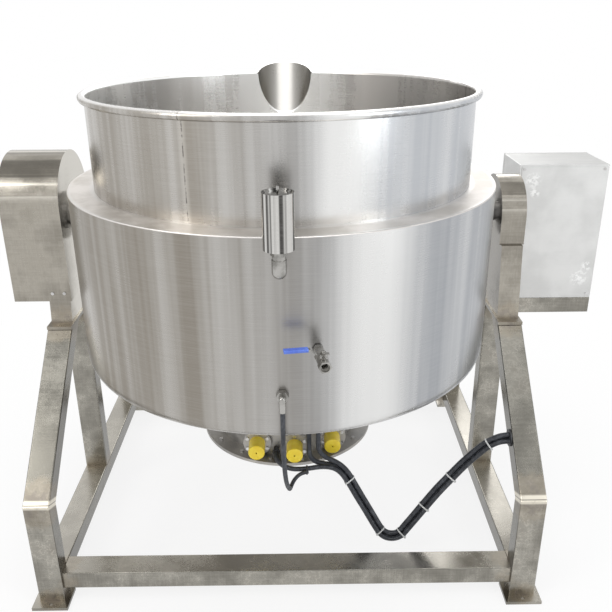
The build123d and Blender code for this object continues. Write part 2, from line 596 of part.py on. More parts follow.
def bar_z(x, y, z0, z1):
    """Upright tube with its wide side along X."""
    return Pos(x, y, z0) * hollow_bar(z1 - z0, TUBE_W, TUBE_D)


def bar_x(y, z, x0, x1):
    """Level tube along X with its wide side along Y."""
    return Pos(x0, y, z) * Rot(0, 90, 0) * hollow_bar(x1 - x0, TUBE_D, TUBE_W)


def bar_y(x, z, y0, y1):
    """Level tube along Y with its wide side along X."""
    return Pos(x, y1, z) * Rot(90, 0, 0) * hollow_bar(y1 - y0, TUBE_W, TUBE_D)


rail_mid_z = (RAIL_Z[0] + RAIL_Z[1]) / 2
post_back_y = POST_FRONT_Y + TUBE_D
rear_post_front_y = 2 * AXIS_Y - post_back_y
rail = bar_y(SIDE_X, rail_mid_z, post_back_y + FIT, rear_post_front_y - FIT)
parts["bottom_rails"] = Compound(children=[rail, mirrored(rail)])

centre_post = bar_z(SIDE_X, CENTRE_POST_FRONT_Y + TUBE_D / 2, RAIL_Z[1] + FIT, LEG_TOP_Z)
parts["centre_posts"] = Compound(children=[centre_post, mirrored(centre_post)])

bar_mid_y = POST_FRONT_Y + BAR_SETBACK + TUBE_W / 2
cross_bar = bar_x(bar_mid_y, rail_mid_z, -SIDE_IN + FIT, SIDE_IN - FIT)
rear_bar = mirror(cross_bar, half_turn)
parts["cross_bars"] = Compound(children=[cross_bar, rear_bar])

foot = block(FOOT_X, FOOT_Y, (0, FOOT_THICK))
foot -= rod_z(SIDE_X, (FOOT_Y[0] + POST_FRONT_Y) / 2, FLOOR_BOLT_R, 0, FOOT_THICK)
rear_foot = mirror(foot, half_turn)
feet = [foot, mirrored(foot), rear_foot, mirrored(rear_foot)]
parts["foot_plates"] = Compound(children=feet)

plate_front = LEG_TOP_FRONT_Y - TOP_PLATE_OVER
plate_z = (LEG_TOP_Z, LEG_TOP_Z + TOP_PLATE_THICK)
plate = block((SIDE_IN, SIDE_OUT), (plate_front, 2 * AXIS_Y - plate_front), plate_z)
parts["top_plates"] = Compound(children=[plate, mirrored(plate)])


def pedestal_outline(inset):
    """Trapezium of the pedestal's side, drawn in Y and Z."""
    foot_half = PEDESTAL_HALF[0] - inset
    top_half = PEDESTAL_HALF[1] - inset
    foot_z = plate_z[1] + (inset if inset else 0)
    top_z = PEDESTAL_TOP_Z - inset
    return make_face(Polyline(
        (AXIS_Y - foot_half, foot_z), (AXIS_Y + foot_half, foot_z),
        (AXIS_Y + top_half, top_z), (AXIS_Y - top_half, top_z), close=True))


ped_in = SIDE_IN + PEDESTAL_SETBACK
ped_out = SIDE_OUT - PEDESTAL_SETBACK
pedestal = side_slab(pedestal_outline(0), ped_in, ped_out)
pedestal -= side_slab(pedestal_outline(PEDESTAL_WALL), ped_in + PEDESTAL_WALL, ped_out - PEDESTAL_WALL)
for dy in (-BEARING_BOLT_Y, BEARING_BOLT_Y):
    pedestal -= rod_z(SIDE_X, AXIS_Y + dy, BOLT_R + 0.5, PEDESTAL_TOP_Z - 2 * PEDESTAL_WALL,
                      PEDESTAL_TOP_Z)
parts["pedestals"] = Compound(children=[pedestal, mirrored(pedestal)])


# ---------------------------------------------------------------- bearings and their cover
foot_len, foot_tall = BEARING_FOOT
bear_in = SIDE_X - BEARING_W / 2
bear_out = SIDE_X + BEARING_W / 2
body_outline = Pos(AXIS_Y, AXIS_Z) * Circle(BEARING_R)
body_outline += Pos(AXIS_Y, (PEDESTAL_TOP_Z + AXIS_Z) / 2) * Rectangle(
    1.6 * BEARING_R, AXIS_Z - PEDESTAL_TOP_Z)
body_outline += Pos(AXIS_Y, PEDESTAL_TOP_Z + foot_tall / 2) * Rectangle(foot_len, foot_tall)
bearing = side_slab(body_outline, bear_in, bear_out)
bearing -= rod_x(AXIS_Y, AXIS_Z, TRUNNION_R + RUNNING_FIT, bear_in - 1, bear_out + 1)
bearing_bolts = []
for dy in (-BEARING_BOLT_Y, BEARING_BOLT_Y):
    y = AXIS_Y + dy
    bearing -= rod_z(SIDE_X, y, BOLT_R + 0.5, PEDESTAL_TOP_Z, PEDESTAL_TOP_Z + foot_tall)
    bolt = rod_z(SIDE_X, y, BOLT_R, PEDESTAL_TOP_Z - PEDESTAL_WALL - 8, PEDESTAL_TOP_Z + foot_tall)
    bolt += hex_z(SIDE_X, y, 19, PEDESTAL_TOP_Z + foot_tall, PEDESTAL_TOP_Z + foot_tall + 8)
    bearing_bolts += [bolt, mirrored(bolt)]
parts["trunnion_bearings"] = Compound(children=[bearing, mirrored(bearing)])
parts["bearing_bolts"] = Compound(children=bearing_bolts)


def arch(half, top_z, bottom_z, inset):
    """Round-topped outline about the trunnion's Y, drawn in Y and Z."""
    r = half - inset
    centre_z = top_z - half
    outline = Pos(AXIS_Y, centre_z) * Circle(r)
    outline += Pos(AXIS_Y, (bottom_z + centre_z) / 2) * Rectangle(2 * r, centre_z - bottom_z)
    return outline & Pos(AXIS_Y, (bottom_z + top_z) / 2) * Rectangle(2 * half, top_z - bottom_z)


arch_top = AXIS_Z + ARCH_HALF
cover_box = side_slab(arch(ARCH_HALF, arch_top, PEDESTAL_TOP_Z + FIT, 0), *COVER_X)
cover_box -= side_slab(arch(ARCH_HALF, arch_top, PEDESTAL_TOP_Z - 1, SHEET),
                       COVER_X[0] + SHEET, COVER_X[1] - SHEET)
cover_box -= rod_x(AXIS_Y, AXIS_Z, TRUNNION_R + 4, COVER_X[0] - 1, COVER_X[0] + SHEET + 1)
parts["bearing_cover"] = cover_box


# ---------------------------------------------------------------- tilt drive
housing = side_slab(arch(HOUSING_HALF, HOUSING_TOP_Z, HOUSING_BOTTOM_Z, 0), *HOUSING_X)
housing -= side_slab(arch(HOUSING_HALF, HOUSING_TOP_Z, HOUSING_BOTTOM_Z - 1, SHEET),
                     HOUSING_X[0] + SHEET, HOUSING_X[1] - SHEET)
housing -= rod_x(AXIS_Y, AXIS_Z, TRUNNION_R + 4, HOUSING_X[1] - SHEET - 1, HOUSING_X[1] + 1)
tray = block((HOUSING_X[0] + SHEET, -ped_out - FIT),
             (AXIS_Y - HOUSING_HALF + SHEET, AXIS_Y + HOUSING_HALF - SHEET),
             (HOUSING_BOTTOM_Z, HOUSING_BOTTOM_Z + SHEET))
housing += tray
parts["drive_housing"] = housing

screws = []
for x in (-SIDE_X - 18, -SIDE_X + 18):
    y = AXIS_Y - HOUSING_HALF
    head = rod_y(x, HOUSING_BOTTOM_Z + 26, 5, y - 3, y)
    screws.append(head)
    screws.append(mirror(head, half_turn))

gear_case = side_slab(Pos(AXIS_Y, AXIS_Z) * RectangleRounded(GEARBOX_SIDE, GEARBOX_SIDE, GEARBOX_CORNER),
                      *GEARBOX_X)
gear_case -= side_slab(
    Pos(AXIS_Y, AXIS_Z) * Rectangle(GEARBOX_SIDE - 2 * GEARBOX_WALL, GEARBOX_SIDE - 2 * GEARBOX_WALL),
    GEARBOX_X[0] + GEARBOX_WALL, GEARBOX_X[1] - GEARBOX_WALL)
gear_case -= rod_x(AXIS_Y, AXIS_Z, TRUNNION_R + RUNNING_FIT, GEARBOX_X[0] - 1, GEARBOX_X[1] + 1)
gear_mid_x = (GEARBOX_X[0] + GEARBOX_X[1]) / 2
worm_y = AXIS_Y - WHEEL_R - WORM_R - 0.5
case_floor_z = AXIS_Z - GEARBOX_SIDE / 2
gear_case -= rod_z(gear_mid_x, worm_y, WORM_SHAFT_R + RUNNING_FIT, case_floor_z - 1, AXIS_Z)
parts["gearbox"] = gear_case

worm = rod_z(gear_mid_x, worm_y, WORM_SHAFT_R, case_floor_z - MOTOR_SHAFT, AXIS_Z + WORM_HALF + 6)
worm += rod_z(gear_mid_x, worm_y, WORM_R, AXIS_Z - WORM_HALF, AXIS_Z + WORM_HALF)
parts["worm_shaft"] = worm
wheel = rod_x(AXIS_Y, AXIS_Z, WHEEL_R, gear_mid_x - WHEEL_HALF, gear_mid_x + WHEEL_HALF)
wheel -= rod_x(AXIS_Y, AXIS_Z, TRUNNION_R, gear_mid_x - 2 * WHEEL_HALF, gear_mid_x + 2 * WHEEL_HALF)
parts["worm_wheel"] = wheel

motor = rod_z(gear_mid_x, worm_y, MOTOR_R, MOTOR_BOTTOM_Z, case_floor_z)
motor -= rod_z(gear_mid_x, worm_y, WORM_SHAFT_R + RUNNING_FIT, case_floor_z - MOTOR_SHAFT - 2, case_floor_z)
parts["drive_motor"] = motor


# ---------------------------------------------------------------- control box
cap_inset = TUBE_WALL / 2
arms = []
for y in (BOX_Y[0] + TUBE_W / 2, BOX_Y[1] - TUBE_W / 2):
    arm = bar_x(y, BOX_Z[0] - TUBE_D / 2, SIDE_OUT + FIT, BOX_X[1])
    for end in (SIDE_OUT + FIT, BOX_X[1] - SHEET):
        arm += block((end, end + SHEET), (y - TUBE_W / 2 + cap_inset, y + TUBE_W / 2 - cap_inset),
                     (BOX_Z[0] - TUBE_D + cap_inset, BOX_Z[0] - cap_inset))
    arms.append(arm)
parts["box_arms"] = Compound(children=arms)

box = block(BOX_X, BOX_Y, BOX_Z)
box = fillet(box.edges().filter_by(Axis.Y), 3)
box -= block((BOX_X[0] + SHEET, BOX_X[1] - SHEET), (BOX_Y[0] + SHEET, BOX_Y[1] + 1),
             (BOX_Z[0] + SHEET, BOX_Z[1] - SHEET))
window = 22.0
box -= block((BOX_X[0] + window, BOX_X[1] - window), (BOX_Y[0] - 1, BOX_Y[0] + 2 * SHEET),
             (BOX_Z[0] + window, BOX_Z[1] - window))
parts["control_box"] = box

panel_edge = 6.0
panel = block((BOX_X[0] + panel_edge, BOX_X[1] - panel_edge),
              (BOX_Y[0] - 1.5 - FIT, BOX_Y[0] - FIT), (BOX_Z[0] + panel_edge, BOX_Z[1] - panel_edge))
panel_screws = []
for x in (BOX_X[0] + 14, BOX_X[1] - 14):
    for z in (BOX_Z[0] + 14, BOX_Z[1] - 14):
        panel -= rod_y(x, z, 2.2, BOX_Y[0] - 3, BOX_Y[0] + 1)
        panel_screws.append(rod_y(x, z, 4.5, BOX_Y[0] - 4.2, BOX_Y[0] - 1.5 - FIT)
                            + rod_y(x, z, 2.0, BOX_Y[0] - 1.7, BOX_Y[0] - FIT))
parts["box_rear_panel"] = panel
parts["cover_screws"] = Compound(children=screws + panel_screws)

door_y = (BOX_Y[1] + DOOR_GAP, BOX_Y[1] + DOOR_GAP + DOOR_THICK)
door = block(BOX_X, door_y, BOX_Z)
door = fillet(door.edges().filter_by(Axis.Z).group_by(Axis.Y)[-1], 3)
door -= block((BOX_X[0] + SHEET, BOX_X[1] - SHEET), (door_y[0] - 1, door_y[1] - SHEET),
              (BOX_Z[0] + SHEET, BOX_Z[1] - SHEET))
HINGE_X = BOX_X[1] + HINGE_R + DOOR_SIDE_GAP
hinge_y = BOX_Y[1] + DOOR_GAP / 2
box_mid_x = (BOX_X[0] + BOX_X[1]) / 2

button_z = BOX_Z[1] - BUTTON_DROP
button_spots = {
    "tilt_up_button": (box_mid_x - BUTTON_PITCH, button_z),
    "tilt_down_button": (box_mid_x, button_z),
    "heat_selector": (box_mid_x + BUTTON_PITCH, button_z),
    "emergency_stop": (box_mid_x, button_z - STOP_DROP),
}
for x, z in button_spots.values():
    door -= rod_y(x, z, BUTTON_HOLE_R, door_y[0] - 2, door_y[1] + 2)
display_spot = (box_mid_x, BOX_Z[1] - DISPLAY_DROP)
door -= block((display_spot[0] - DISPLAY_HALF[0], display_spot[0] + DISPLAY_HALF[0]),
              (door_y[1] - 2 * SHEET, door_y[1] + 1),
              (display_spot[1] - DISPLAY_HALF[1], display_spot[1] + DISPLAY_HALF[1]))
latch_spot = (BOX_X[0] + 26, (BOX_Z[0] + BOX_Z[1]) / 2)
door -= rod_y(latch_spot[0], latch_spot[1], 8, door_y[0] - 2, door_y[1] + 2)
parts["box_door"] = door

show_half, show_tall = (half - FIT for half in DISPLAY_HALF)
display = block((display_spot[0] - show_half, display_spot[0] + show_half),
                (door_y[1] - 12, door_y[1] + 3), (display_spot[1] - show_tall, display_spot[1] + show_tall))
parts["temperature_display"] = display

hinges = []
for z in (BOX_Z[0] + HINGE_INSET, BOX_Z[1] - HINGE_INSET):
    span = (z - HINGE_LENGTH / 2, z + HINGE_LENGTH / 2)
    pin = rod_z(HINGE_X, hinge_y, HINGE_R, *span)
    strap = block((BOX_X[1] + FIT, HINGE_X), (BOX_Y[1] - HINGE_LENGTH / 2, hinge_y), span)
    hinges.append(pin + strap)
parts["door_hinges"] = Compound(children=hinges)

for name, (x, z) in button_spots.items():
    face_y = door_y[1]
    if name == "emergency_stop":
        piece = rod_y(x, z, BUTTON_HOLE_R - RUNNING_FIT, face_y - 10, face_y + 12)
        head = rod_y(x, z, 19, face_y + 12, face_y + 24)
        piece += fillet(head.edges().filter_by(GeomType.CIRCLE).sort_by(Axis.Y)[-1], 6)
    elif name == "heat_selector":
        piece = rod_y(x, z, BUTTON_HOLE_R - RUNNING_FIT, face_y - 10, face_y + 1)
        piece += rod_y(x, z, 15, face_y + 1, face_y + 6)
        piece += block((x - 4, x + 4), (face_y + 6, face_y + 16), (z - 14, z + 14))
    else:
        piece = rod_y(x, z, BUTTON_HOLE_R - RUNNING_FIT, face_y - 10, face_y + 7)
        piece = fillet(piece.edges().filter_by(GeomType.CIRCLE).sort_by(Axis.Y)[-1], 1.5)
    parts[name] = piece

x, z = latch_spot
latch = rod_y(x, z, 8 - RUNNING_FIT, door_y[0] - 6, door_y[1] + 1)
latch += rod_y(x, z, 12, door_y[1] + 1, door_y[1] + 5)
latch += block((x - 3, x + 3), (door_y[1] + 5, door_y[1] + 11), (z - 16, z + 16))
latch += block((x - 30 + 8, x + 6), (door_y[0] - 9, door_y[0] - 6), (z - 8, z + 8))
parts["door_latch"] = latch


# ---------------------------------------------------------------- wiring conduits
FRONT_ROUTE = [
    (-32, -252, 366), (-32, -271.5, 366), (-25, -289, 362), (-11, -302.5, 355), (7, -309.5, 350),
    (30, -311, 347), (64, -310, 348), (96, -306, 351), (118, -305, 351), (140, -304.5, 347),
    (158, -304.5, 336), (173, -304.5, 318), (193, -304.5, 281), (216, -304.5, 234),
    (239, -304.5, 191), (258, -305, 153), (275, -305, 120), (292, -305.5, 92),
    (313, -306, 77.5), (338.5, -306.5, 76), (361.5, -307, 87.5), (380, -307.5, 117),
    (402, -308, 151), (432, -309, 199), (469, -310.5, 257), (501, -312, 301), (536, -314, 350),
    (570, -317, 391), (594, -321, 420), (610, -324.5, 434.5), (628.5, -328, 446),
    (648, -331.5, 451.6)]
BACK_ROUTE = [
    (69, -236, 447), (69, -254, 447), (69, -270.5, 440), (69, -283, 427.5), (69, -290, 411),
    (69.5, -290, 388), (76, -290, 371.5), (88.5, -289.5, 359), (105, -288.5, 352),
    (124, -288, 349.5), (142, -287.5, 345.5), (158.5, -287.5, 335), (173, -287.5, 317),
    (193, -287.5, 280), (216, -287.5, 233), (239, -287.5, 190), (258, -288, 152),
    (275, -288, 119), (292, -288.5, 91), (313, -289, 76.5), (338.5, -289.5, 75),
    (361.5, -290, 86.5), (380, -290.5, 116), (402, -291, 150), (432, -292, 198),
    (469, -293.5, 256), (501, -295, 300), (536, -297, 349), (570, -300, 390),
    (594, -304, 419), (610, -307, 433.5), (628.5, -311, 445.5), (648, -314.5, 451.6)]
TOP_ROUTE = [
    (97, -232, 466), (97, -254, 466), (97, -273.5, 459), (97, -287, 446.5), (97, -295, 430),
    (97.5, -296, 411), (104, -296, 395.5), (116.5, -296, 383), (134, -296, 376),
    (160, -296, 369), (184, -296, 350), (206, -296, 317), (229, -296.5, 275),
    (250, -296.5, 230), (268, -296.5, 190), (285, -297, 155), (302, -297, 126),
    (318, -297.5, 114.5), (337, -298, 113), (354.5, -298.5, 121.5), (373, -299, 148),
    (393, -299.5, 180), (421, -300.5, 223), (463, -302, 286), (500, -304, 336), (533, -307, 377),
    (565, -310, 413), (591, -314, 440), (610.5, -317.5, 455), (629.5, -321, 464.5),
    (648, -323, 468)]
conduit_end_x = SIDE_IN + TUBE_WALL + 8
routes = {"conduit_front": FRONT_ROUTE, "conduit_back": BACK_ROUTE, "conduit_top": TOP_ROUTE}
for (name, route), (dy, dz) in zip(routes.items(), strand_spots):
    inside = (conduit_end_x, LEG_ENTRY[0] + dy, LEG_ENTRY[1] + dz)
    entering = (route[-1][0], inside[1], inside[2])
    parts[name] = cord_tube(name, route[:-1] + [entering, inside], CONDUIT_R)

tie_long = CONDUIT_R + SENSOR_CABLE_R
tie_place = Plane(
    origin=(TIE_X - TIE_WIDE / 2, TIE_MID[0], TIE_MID[1]), x_dir=(0, 1, 0), z_dir=(1, 0, 0))
tie = extrude(tie_place * SlotCenterToCenter(tie_long, 2 * (CONDUIT_R + TIE_THICK + TIE_GAP)), TIE_WIDE)
tie -= extrude(tie_place * SlotCenterToCenter(tie_long, 2 * (CONDUIT_R + TIE_GAP)), TIE_WIDE)
parts["cable_tie"] = tie


# ---------------------------------------------------------------- write
os.makedirs("parts", exist_ok=True)
to_origin = Pos(0, -AXIS_Y, 0)
for name, shape in parts.items():
    solids = [to_origin * solid for solid in shape.solids()]
    export_step(Compound(solids) if len(solids) > 1 else solids[0], f"parts/{name}.step")
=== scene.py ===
# %% [markdown]
# # A tilting jacketed kettle, dressed in Blender
# The kettle arrives as a finished frame of rigid pieces, with its joints. This lesson gives every
# piece its finish, makes what a rigid model can't show, such as hanging conduits and their ties,
# and sets up a camera and soft light. All sizes are in metres, with Z up and the floor at Z = 0.

# %% Load the frame
import bpy
import bmesh
import json
from math import cos, pi, radians, sin
from mathutils import Matrix, Vector


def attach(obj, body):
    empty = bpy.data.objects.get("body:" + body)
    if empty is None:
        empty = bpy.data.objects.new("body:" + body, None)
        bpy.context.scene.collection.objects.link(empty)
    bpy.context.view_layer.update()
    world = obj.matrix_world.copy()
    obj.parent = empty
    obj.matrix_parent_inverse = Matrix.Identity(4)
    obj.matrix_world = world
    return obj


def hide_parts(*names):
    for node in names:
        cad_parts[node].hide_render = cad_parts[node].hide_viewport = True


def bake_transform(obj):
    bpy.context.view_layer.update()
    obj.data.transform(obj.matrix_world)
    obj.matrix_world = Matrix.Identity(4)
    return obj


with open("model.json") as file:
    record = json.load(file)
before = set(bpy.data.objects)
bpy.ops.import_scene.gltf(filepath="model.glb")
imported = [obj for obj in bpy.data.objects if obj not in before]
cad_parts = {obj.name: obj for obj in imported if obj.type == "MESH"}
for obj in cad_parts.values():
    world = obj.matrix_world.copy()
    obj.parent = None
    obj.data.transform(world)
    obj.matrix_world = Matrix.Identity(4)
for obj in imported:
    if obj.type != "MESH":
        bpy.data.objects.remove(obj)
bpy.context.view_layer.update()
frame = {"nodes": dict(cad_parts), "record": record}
nodes = frame["nodes"]
KETTLE_Y = -0.100          # the kettle's own axis, behind which the trunnions lie

# %% [markdown]
# ## The camera
# The kettle is seen from a little above its rim, from the side where the heaters sit. A camera is
# placed with a matrix whose columns are its right, up and backward directions. That keeps the small
# roll of a hand-held view, which a look-at constraint would lose.

# %% Camera
PITCH, YAW, ROLL = radians(22.684), 0.0075, 0.0076
forward = Vector((sin(YAW) * cos(PITCH), cos(YAW) * cos(PITCH), -sin(PITCH)))
level = Vector((cos(YAW), -sin(YAW), 0))
below = forward.cross(level)
right = level * cos(ROLL) + below * sin(ROLL)
down = below * cos(ROLL) - level * sin(ROLL)
camera_data = bpy.data.cameras.new("camera")
camera = bpy.data.objects.new("camera", camera_data)
bpy.context.scene.collection.objects.link(camera)
turn = Matrix((right, -down, -forward)).transposed().to_4x4()
camera.matrix_world = Matrix.Translation((0.0494, -2.222, 1.6366)) @ turn
camera_data.sensor_width = 36.0
camera_data.lens = 42.34
camera_data.clip_end = 60.0
bpy.context.scene.camera = camera
print("camera", camera.location[:], "lens", camera_data.lens)

# %% [markdown]
# ## Floor, light and the world
# A steel object mostly shows what stands around it, so the light matters more than on a painted one.
# Large soft lamps give broad, calm highlights, and the floor and the world are pale for the camera
# and for reflections. The floor keeps a soft shadow, which sets the feet down.

# %% World
world = bpy.data.worlds.new("studio")
bpy.context.scene.world = world
world.use_nodes = True
tree = world.node_tree
tree.nodes.clear()


def world_node(kind, **settings):
    """Adds one node to the world and sets its properties."""
    node = tree.nodes.new(kind)
    for key, value in settings.items():
        setattr(node, key, value)
    return node


seen = world_node("ShaderNodeLightPath")
sky_place = world_node("ShaderNodeTexCoord")
sky_axes = world_node("ShaderNodeSeparateXYZ")
sky_ramp = world_node("ShaderNodeValToRGB")
for place, grey in ((0.0, 0.62), (0.36, 0.50), (0.50, 0.74), (0.62, 0.96), (0.80, 0.66), (1.0, 0.90)):
    if place in (0.0, 1.0):
        stop = sky_ramp.color_ramp.elements[int(place)]
    else:
        stop = sky_ramp.color_ramp.elements.new(place)
    stop.color = (grey, grey, grey * 1.01, 1)
half = world_node("ShaderNodeMath", operation="MULTIPLY_ADD")
half.inputs[1].default_value = 0.5
half.inputs[2].default_value = 0.5
tree.links.new(sky_place.outputs["Generated"], sky_axes.inputs[0])
tree.links.new(sky_axes.outputs["Z"], half.inputs[0])
tree.links.new(half.outputs[0], sky_ramp.inputs[0])
studio = world_node("ShaderNodeBackground")
tree.links.new(sky_ramp.outputs[0], studio.inputs["Color"])
studio.inputs["Strength"].default_value = 0.80
white = world_node("ShaderNodeBackground")
white.inputs["Color"].default_value = (1, 1, 1, 1)
seen_first = world_node("ShaderNodeMath", operation="ADD")
seen_any = world_node("ShaderNodeMath", operation="ADD", use_clamp=True)
pick = world_node("ShaderNodeMixShader")
world_out = world_node("ShaderNodeOutputWorld")
tree.links.new(seen.outputs["Is Camera Ray"], seen_first.inputs[0])
tree.links.new(seen.outputs["Is Glossy Ray"], seen_first.inputs[1])
tree.links.new(seen_first.outputs[0], seen_any.inputs[0])
tree.links.new(seen.outputs["Is Transmission Ray"], seen_any.inputs[1])
tree.links.new(seen_any.outputs[0], pick.inputs[0])
tree.links.new(studio.outputs[0], pick.inputs[1])
tree.links.new(white.outputs[0], pick.inputs[2])
tree.links.new(pick.outputs[0], world_out.inputs[0])
bpy.context.scene.view_settings.view_transform = "Standard"
print("world nodes", len(tree.nodes))

# %% Lamps


def soft_lamp(name, place, aim, size, power, tint=(1, 1, 1)):
    """A rectangular area lamp at a place, turned towards a point."""
    data = bpy.data.lights.new(name, "AREA")
    data.shape = "RECTANGLE"
    data.size, data.size_y = size
    data.energy = power
    data.color = tint
    lamp = bpy.data.objects.new(name, data)
    bpy.context.scene.collection.objects.link(lamp)
    lamp.location = place
    lamp.rotation_euler = (Vector(aim) - Vector(place)).to_track_quat("-Z", "Y").to_euler()
    return lamp


soft_lamp("key_left", (-3.2, -2.6, 3.2), (0, 0, 0.9), (1.6, 2.6), 52, (1, 0.98, 0.95))
soft_lamp("fill_right", (3.4, -2.8, 2.2), (0, 0, 0.8), (1.2, 2.8), 36, (0.95, 0.98, 1))
soft_lamp("top", (0, -0.4, 4.2), (0, 0, 0.8), (3.0, 3.0), 50)
soft_lamp("back", (0.4, 3.6, 3.0), (0, 0, 1.0), (3.0, 1.6), 34)

# %% [markdown]
# ## Shader sums as plain Python
# Finishes mix many small patterns, such as hairlines, stains and heat marks. Writing each Math node by
# hand hides the idea, so one small class wraps an output socket and turns `+`, `-` and `*` into Math
# nodes. A second one keeps a material's nodes together and adds any other node by its type.

# %% Wire and finish classes


class Wire:
    """One output of a shader node. Sums and products on it add Math nodes."""

    def __init__(self, finish, socket):
        self.finish = finish
        self.socket = socket

    def math(self, operation, *others):
        return self.finish.node("ShaderNodeMath", {"operation": operation},
                                dict(enumerate((self, *others))))

    def __add__(self, other):
        return self.math("ADD", other)

    __radd__ = __add__

    def __mul__(self, other):
        return self.math("MULTIPLY", other)

    __rmul__ = __mul__

    def __sub__(self, other):
        return self.math("SUBTRACT", other)

    def __rsub__(self, other):
        return self.finish.node("ShaderNodeMath", {"operation": "SUBTRACT"}, {0: other, 1: self})

    def __truediv__(self, other):
        return self.math("DIVIDE", other)

    def ramp(self, low, high, start=0.0, end=1.0):
        """Maps low..high smoothly to start..end."""
        return self.finish.node(
            "ShaderNodeMapRange", {"interpolation_type": "SMOOTHSTEP"},
            {0: self, 1: low, 2: high, 3: start, 4: end})


class Finish:
    """A material whose nodes end in one Principled shader."""

    def __init__(self, name, **shader):
        self.material = bpy.data.materials.new(name)
        self.material.use_nodes = True
        self.tree = self.material.node_tree
        self.shader = self.tree.nodes["Principled BSDF"]
        for key, value in shader.items():
            self.shader.inputs[key.replace("_", " ").title()].default_value = value
        self.place = self.node("ShaderNodeTexCoord", output="Object")

    def node(self, kind, settings=None, inputs=None, output=0):
        made = self.tree.nodes.new(kind)
        for key, value in (settings or {}).items():
            if key == "stops":
                ramp = made.color_ramp
                while len(ramp.elements) > 1:
                    ramp.elements.remove(ramp.elements[-1])
                for number, (spot, colour) in enumerate(value):
                    stop = ramp.elements[0] if number == 0 else ramp.elements.new(spot)
                    stop.position = spot
                    stop.color = (*colour, 1)
            else:
                setattr(made, key, value)
        for key, value in (inputs or {}).items():
            if isinstance(value, Wire):
                self.tree.links.new(value.socket, made.inputs[key])
            else:
                made.inputs[key].default_value = value
        return Wire(self, made.outputs[output])

    def axes(self, vector=None):
        """The three numbers of a vector, as three wires."""
        split = self.node("ShaderNodeSeparateXYZ", {}, {0: vector or self.place})
        outputs = split.socket.node.outputs
        return [Wire(self, outputs[i]) for i in range(3)]

    def vector(self, x, y, z):
        return self.node("ShaderNodeCombineXYZ", {}, {0: x, 1: y, 2: z})

    def noise(self, vector, scale, detail=3.0, rough=0.55):
        return self.node("ShaderNodeTexNoise", {},
                         {"Vector": vector, "Scale": scale, "Detail": detail, "Roughness": rough})

    def stretched(self, along, across, up, scale=1.0, detail=3.0):
        """Noise on the object's own place, with a scale for each axis."""
        spread = self.node("ShaderNodeMapping", {}, {"Vector": self.place, "Scale": (along, across, up)})
        return self.noise(spread, scale, detail)

    def mix(self, factor, a, b):
        """A colour between a and b. Plain colours are three numbers."""
        a = a if isinstance(a, Wire) else (*a, 1)
        b = b if isinstance(b, Wire) else (*b, 1)
        return self.node("ShaderNodeMix", {"data_type": "RGBA"}, {0: factor, 6: a, 7: b}, output=2)

    def near(self, spot, inner, outer, place=None):
        """1 close to a spot, falling to 0 at outer."""
        gap = self.node("ShaderNodeVectorMath", {"operation": "DISTANCE"},
                        {0: place or self.place, 1: spot}, output="Value")
        return gap.ramp(inner, outer, 1.0, 0.0)

    def bump(self, height, strength, distance):
        return self.node("ShaderNodeBump", {}, {"Height": height, "Strength": strength, "Distance": distance})

    def to(self, **sockets):
        """Feeds the shader's own sockets by name."""
        for key, value in sockets.items():
            socket = self.shader.inputs[key.replace("_", " ").title()]
            if isinstance(value, Wire):
                self.tree.links.new(value.socket, socket)
            else:
                socket.default_value = value
        return self.material


finishes = {}
print("classes ready")

# %% [markdown]
# ## The floor
# The floor is a plain pale sheet. Close to the kettle it is a matt surface that takes the shadow, and
# further out it fades into the same white as the world, so that no horizon cuts the picture. Light
# Path keeps that glow away from the light that falls on the kettle.

# %% Floor
floor_shape = bmesh.new()
bmesh.ops.create_grid(floor_shape, x_segments=1, y_segments=1, size=9.0)
floor_mesh = bpy.data.meshes.new("floor")
floor_shape.to_mesh(floor_mesh)
floor = bpy.data.objects.new("floor", floor_mesh)
bpy.context.scene.collection.objects.link(floor)

pale = Finish("pale_floor", base_color=(0.92, 0.92, 0.92, 1), roughness=0.85)
pale.shader.inputs["Specular IOR Level"].default_value = 0.1
ray = pale.node("ShaderNodeLightPath").socket.node.outputs
shown = Wire(pale, ray["Is Camera Ray"]) + Wire(pale, ray["Is Glossy Ray"])
shown = shown + Wire(pale, ray["Is Transmission Ray"])
away = pale.node("ShaderNodeVectorMath", {"operation": "LENGTH"}, {0: pale.place}, output="Value")
glow = pale.node("ShaderNodeEmission", {}, {"Color": (1, 1, 1, 1)})
lit = Wire(pale, pale.shader.outputs[0])
fade = away.ramp(0.7, 2.2, 0.82, 1.0) * shown.math("MINIMUM", 1)
blended = pale.node("ShaderNodeMixShader", {}, {0: fade, 1: lit, 2: glow})
pale.tree.links.new(blended.socket, pale.tree.nodes["Material Output"].inputs[0])
floor_mesh.materials.append(pale.material)
print("floor nodes", len(pale.tree.nodes))


# %% [markdown]
# ## Finding the finishes
# Every frame piece names the finish slot it belongs to, so one loop at the end can dress them all.
# Rolled stainless steel is never one grey. On the kettle the sheet was polished around its axis, which
# leaves very fine level hairlines. Upright bands of painted reflection, warm and darker on one side and
# cooler and bluer on the other, with paler bands and one painted highlight band, stand in for the room.
# Both follow the direction from the kettle's axis. Its two parts are used rather than an angle,
# because an angle jumps where it starts again and would leave a seam.

# %% Kettle steel


def around(finish):
    """Sideways direction from the kettle's axis, distance from it, and height, as wires."""
    x, y, z = finish.axes()
    back = y - KETTLE_Y
    reach = (x * x + back * back).math("SQRT")
    return x / reach, back / reach, reach, z


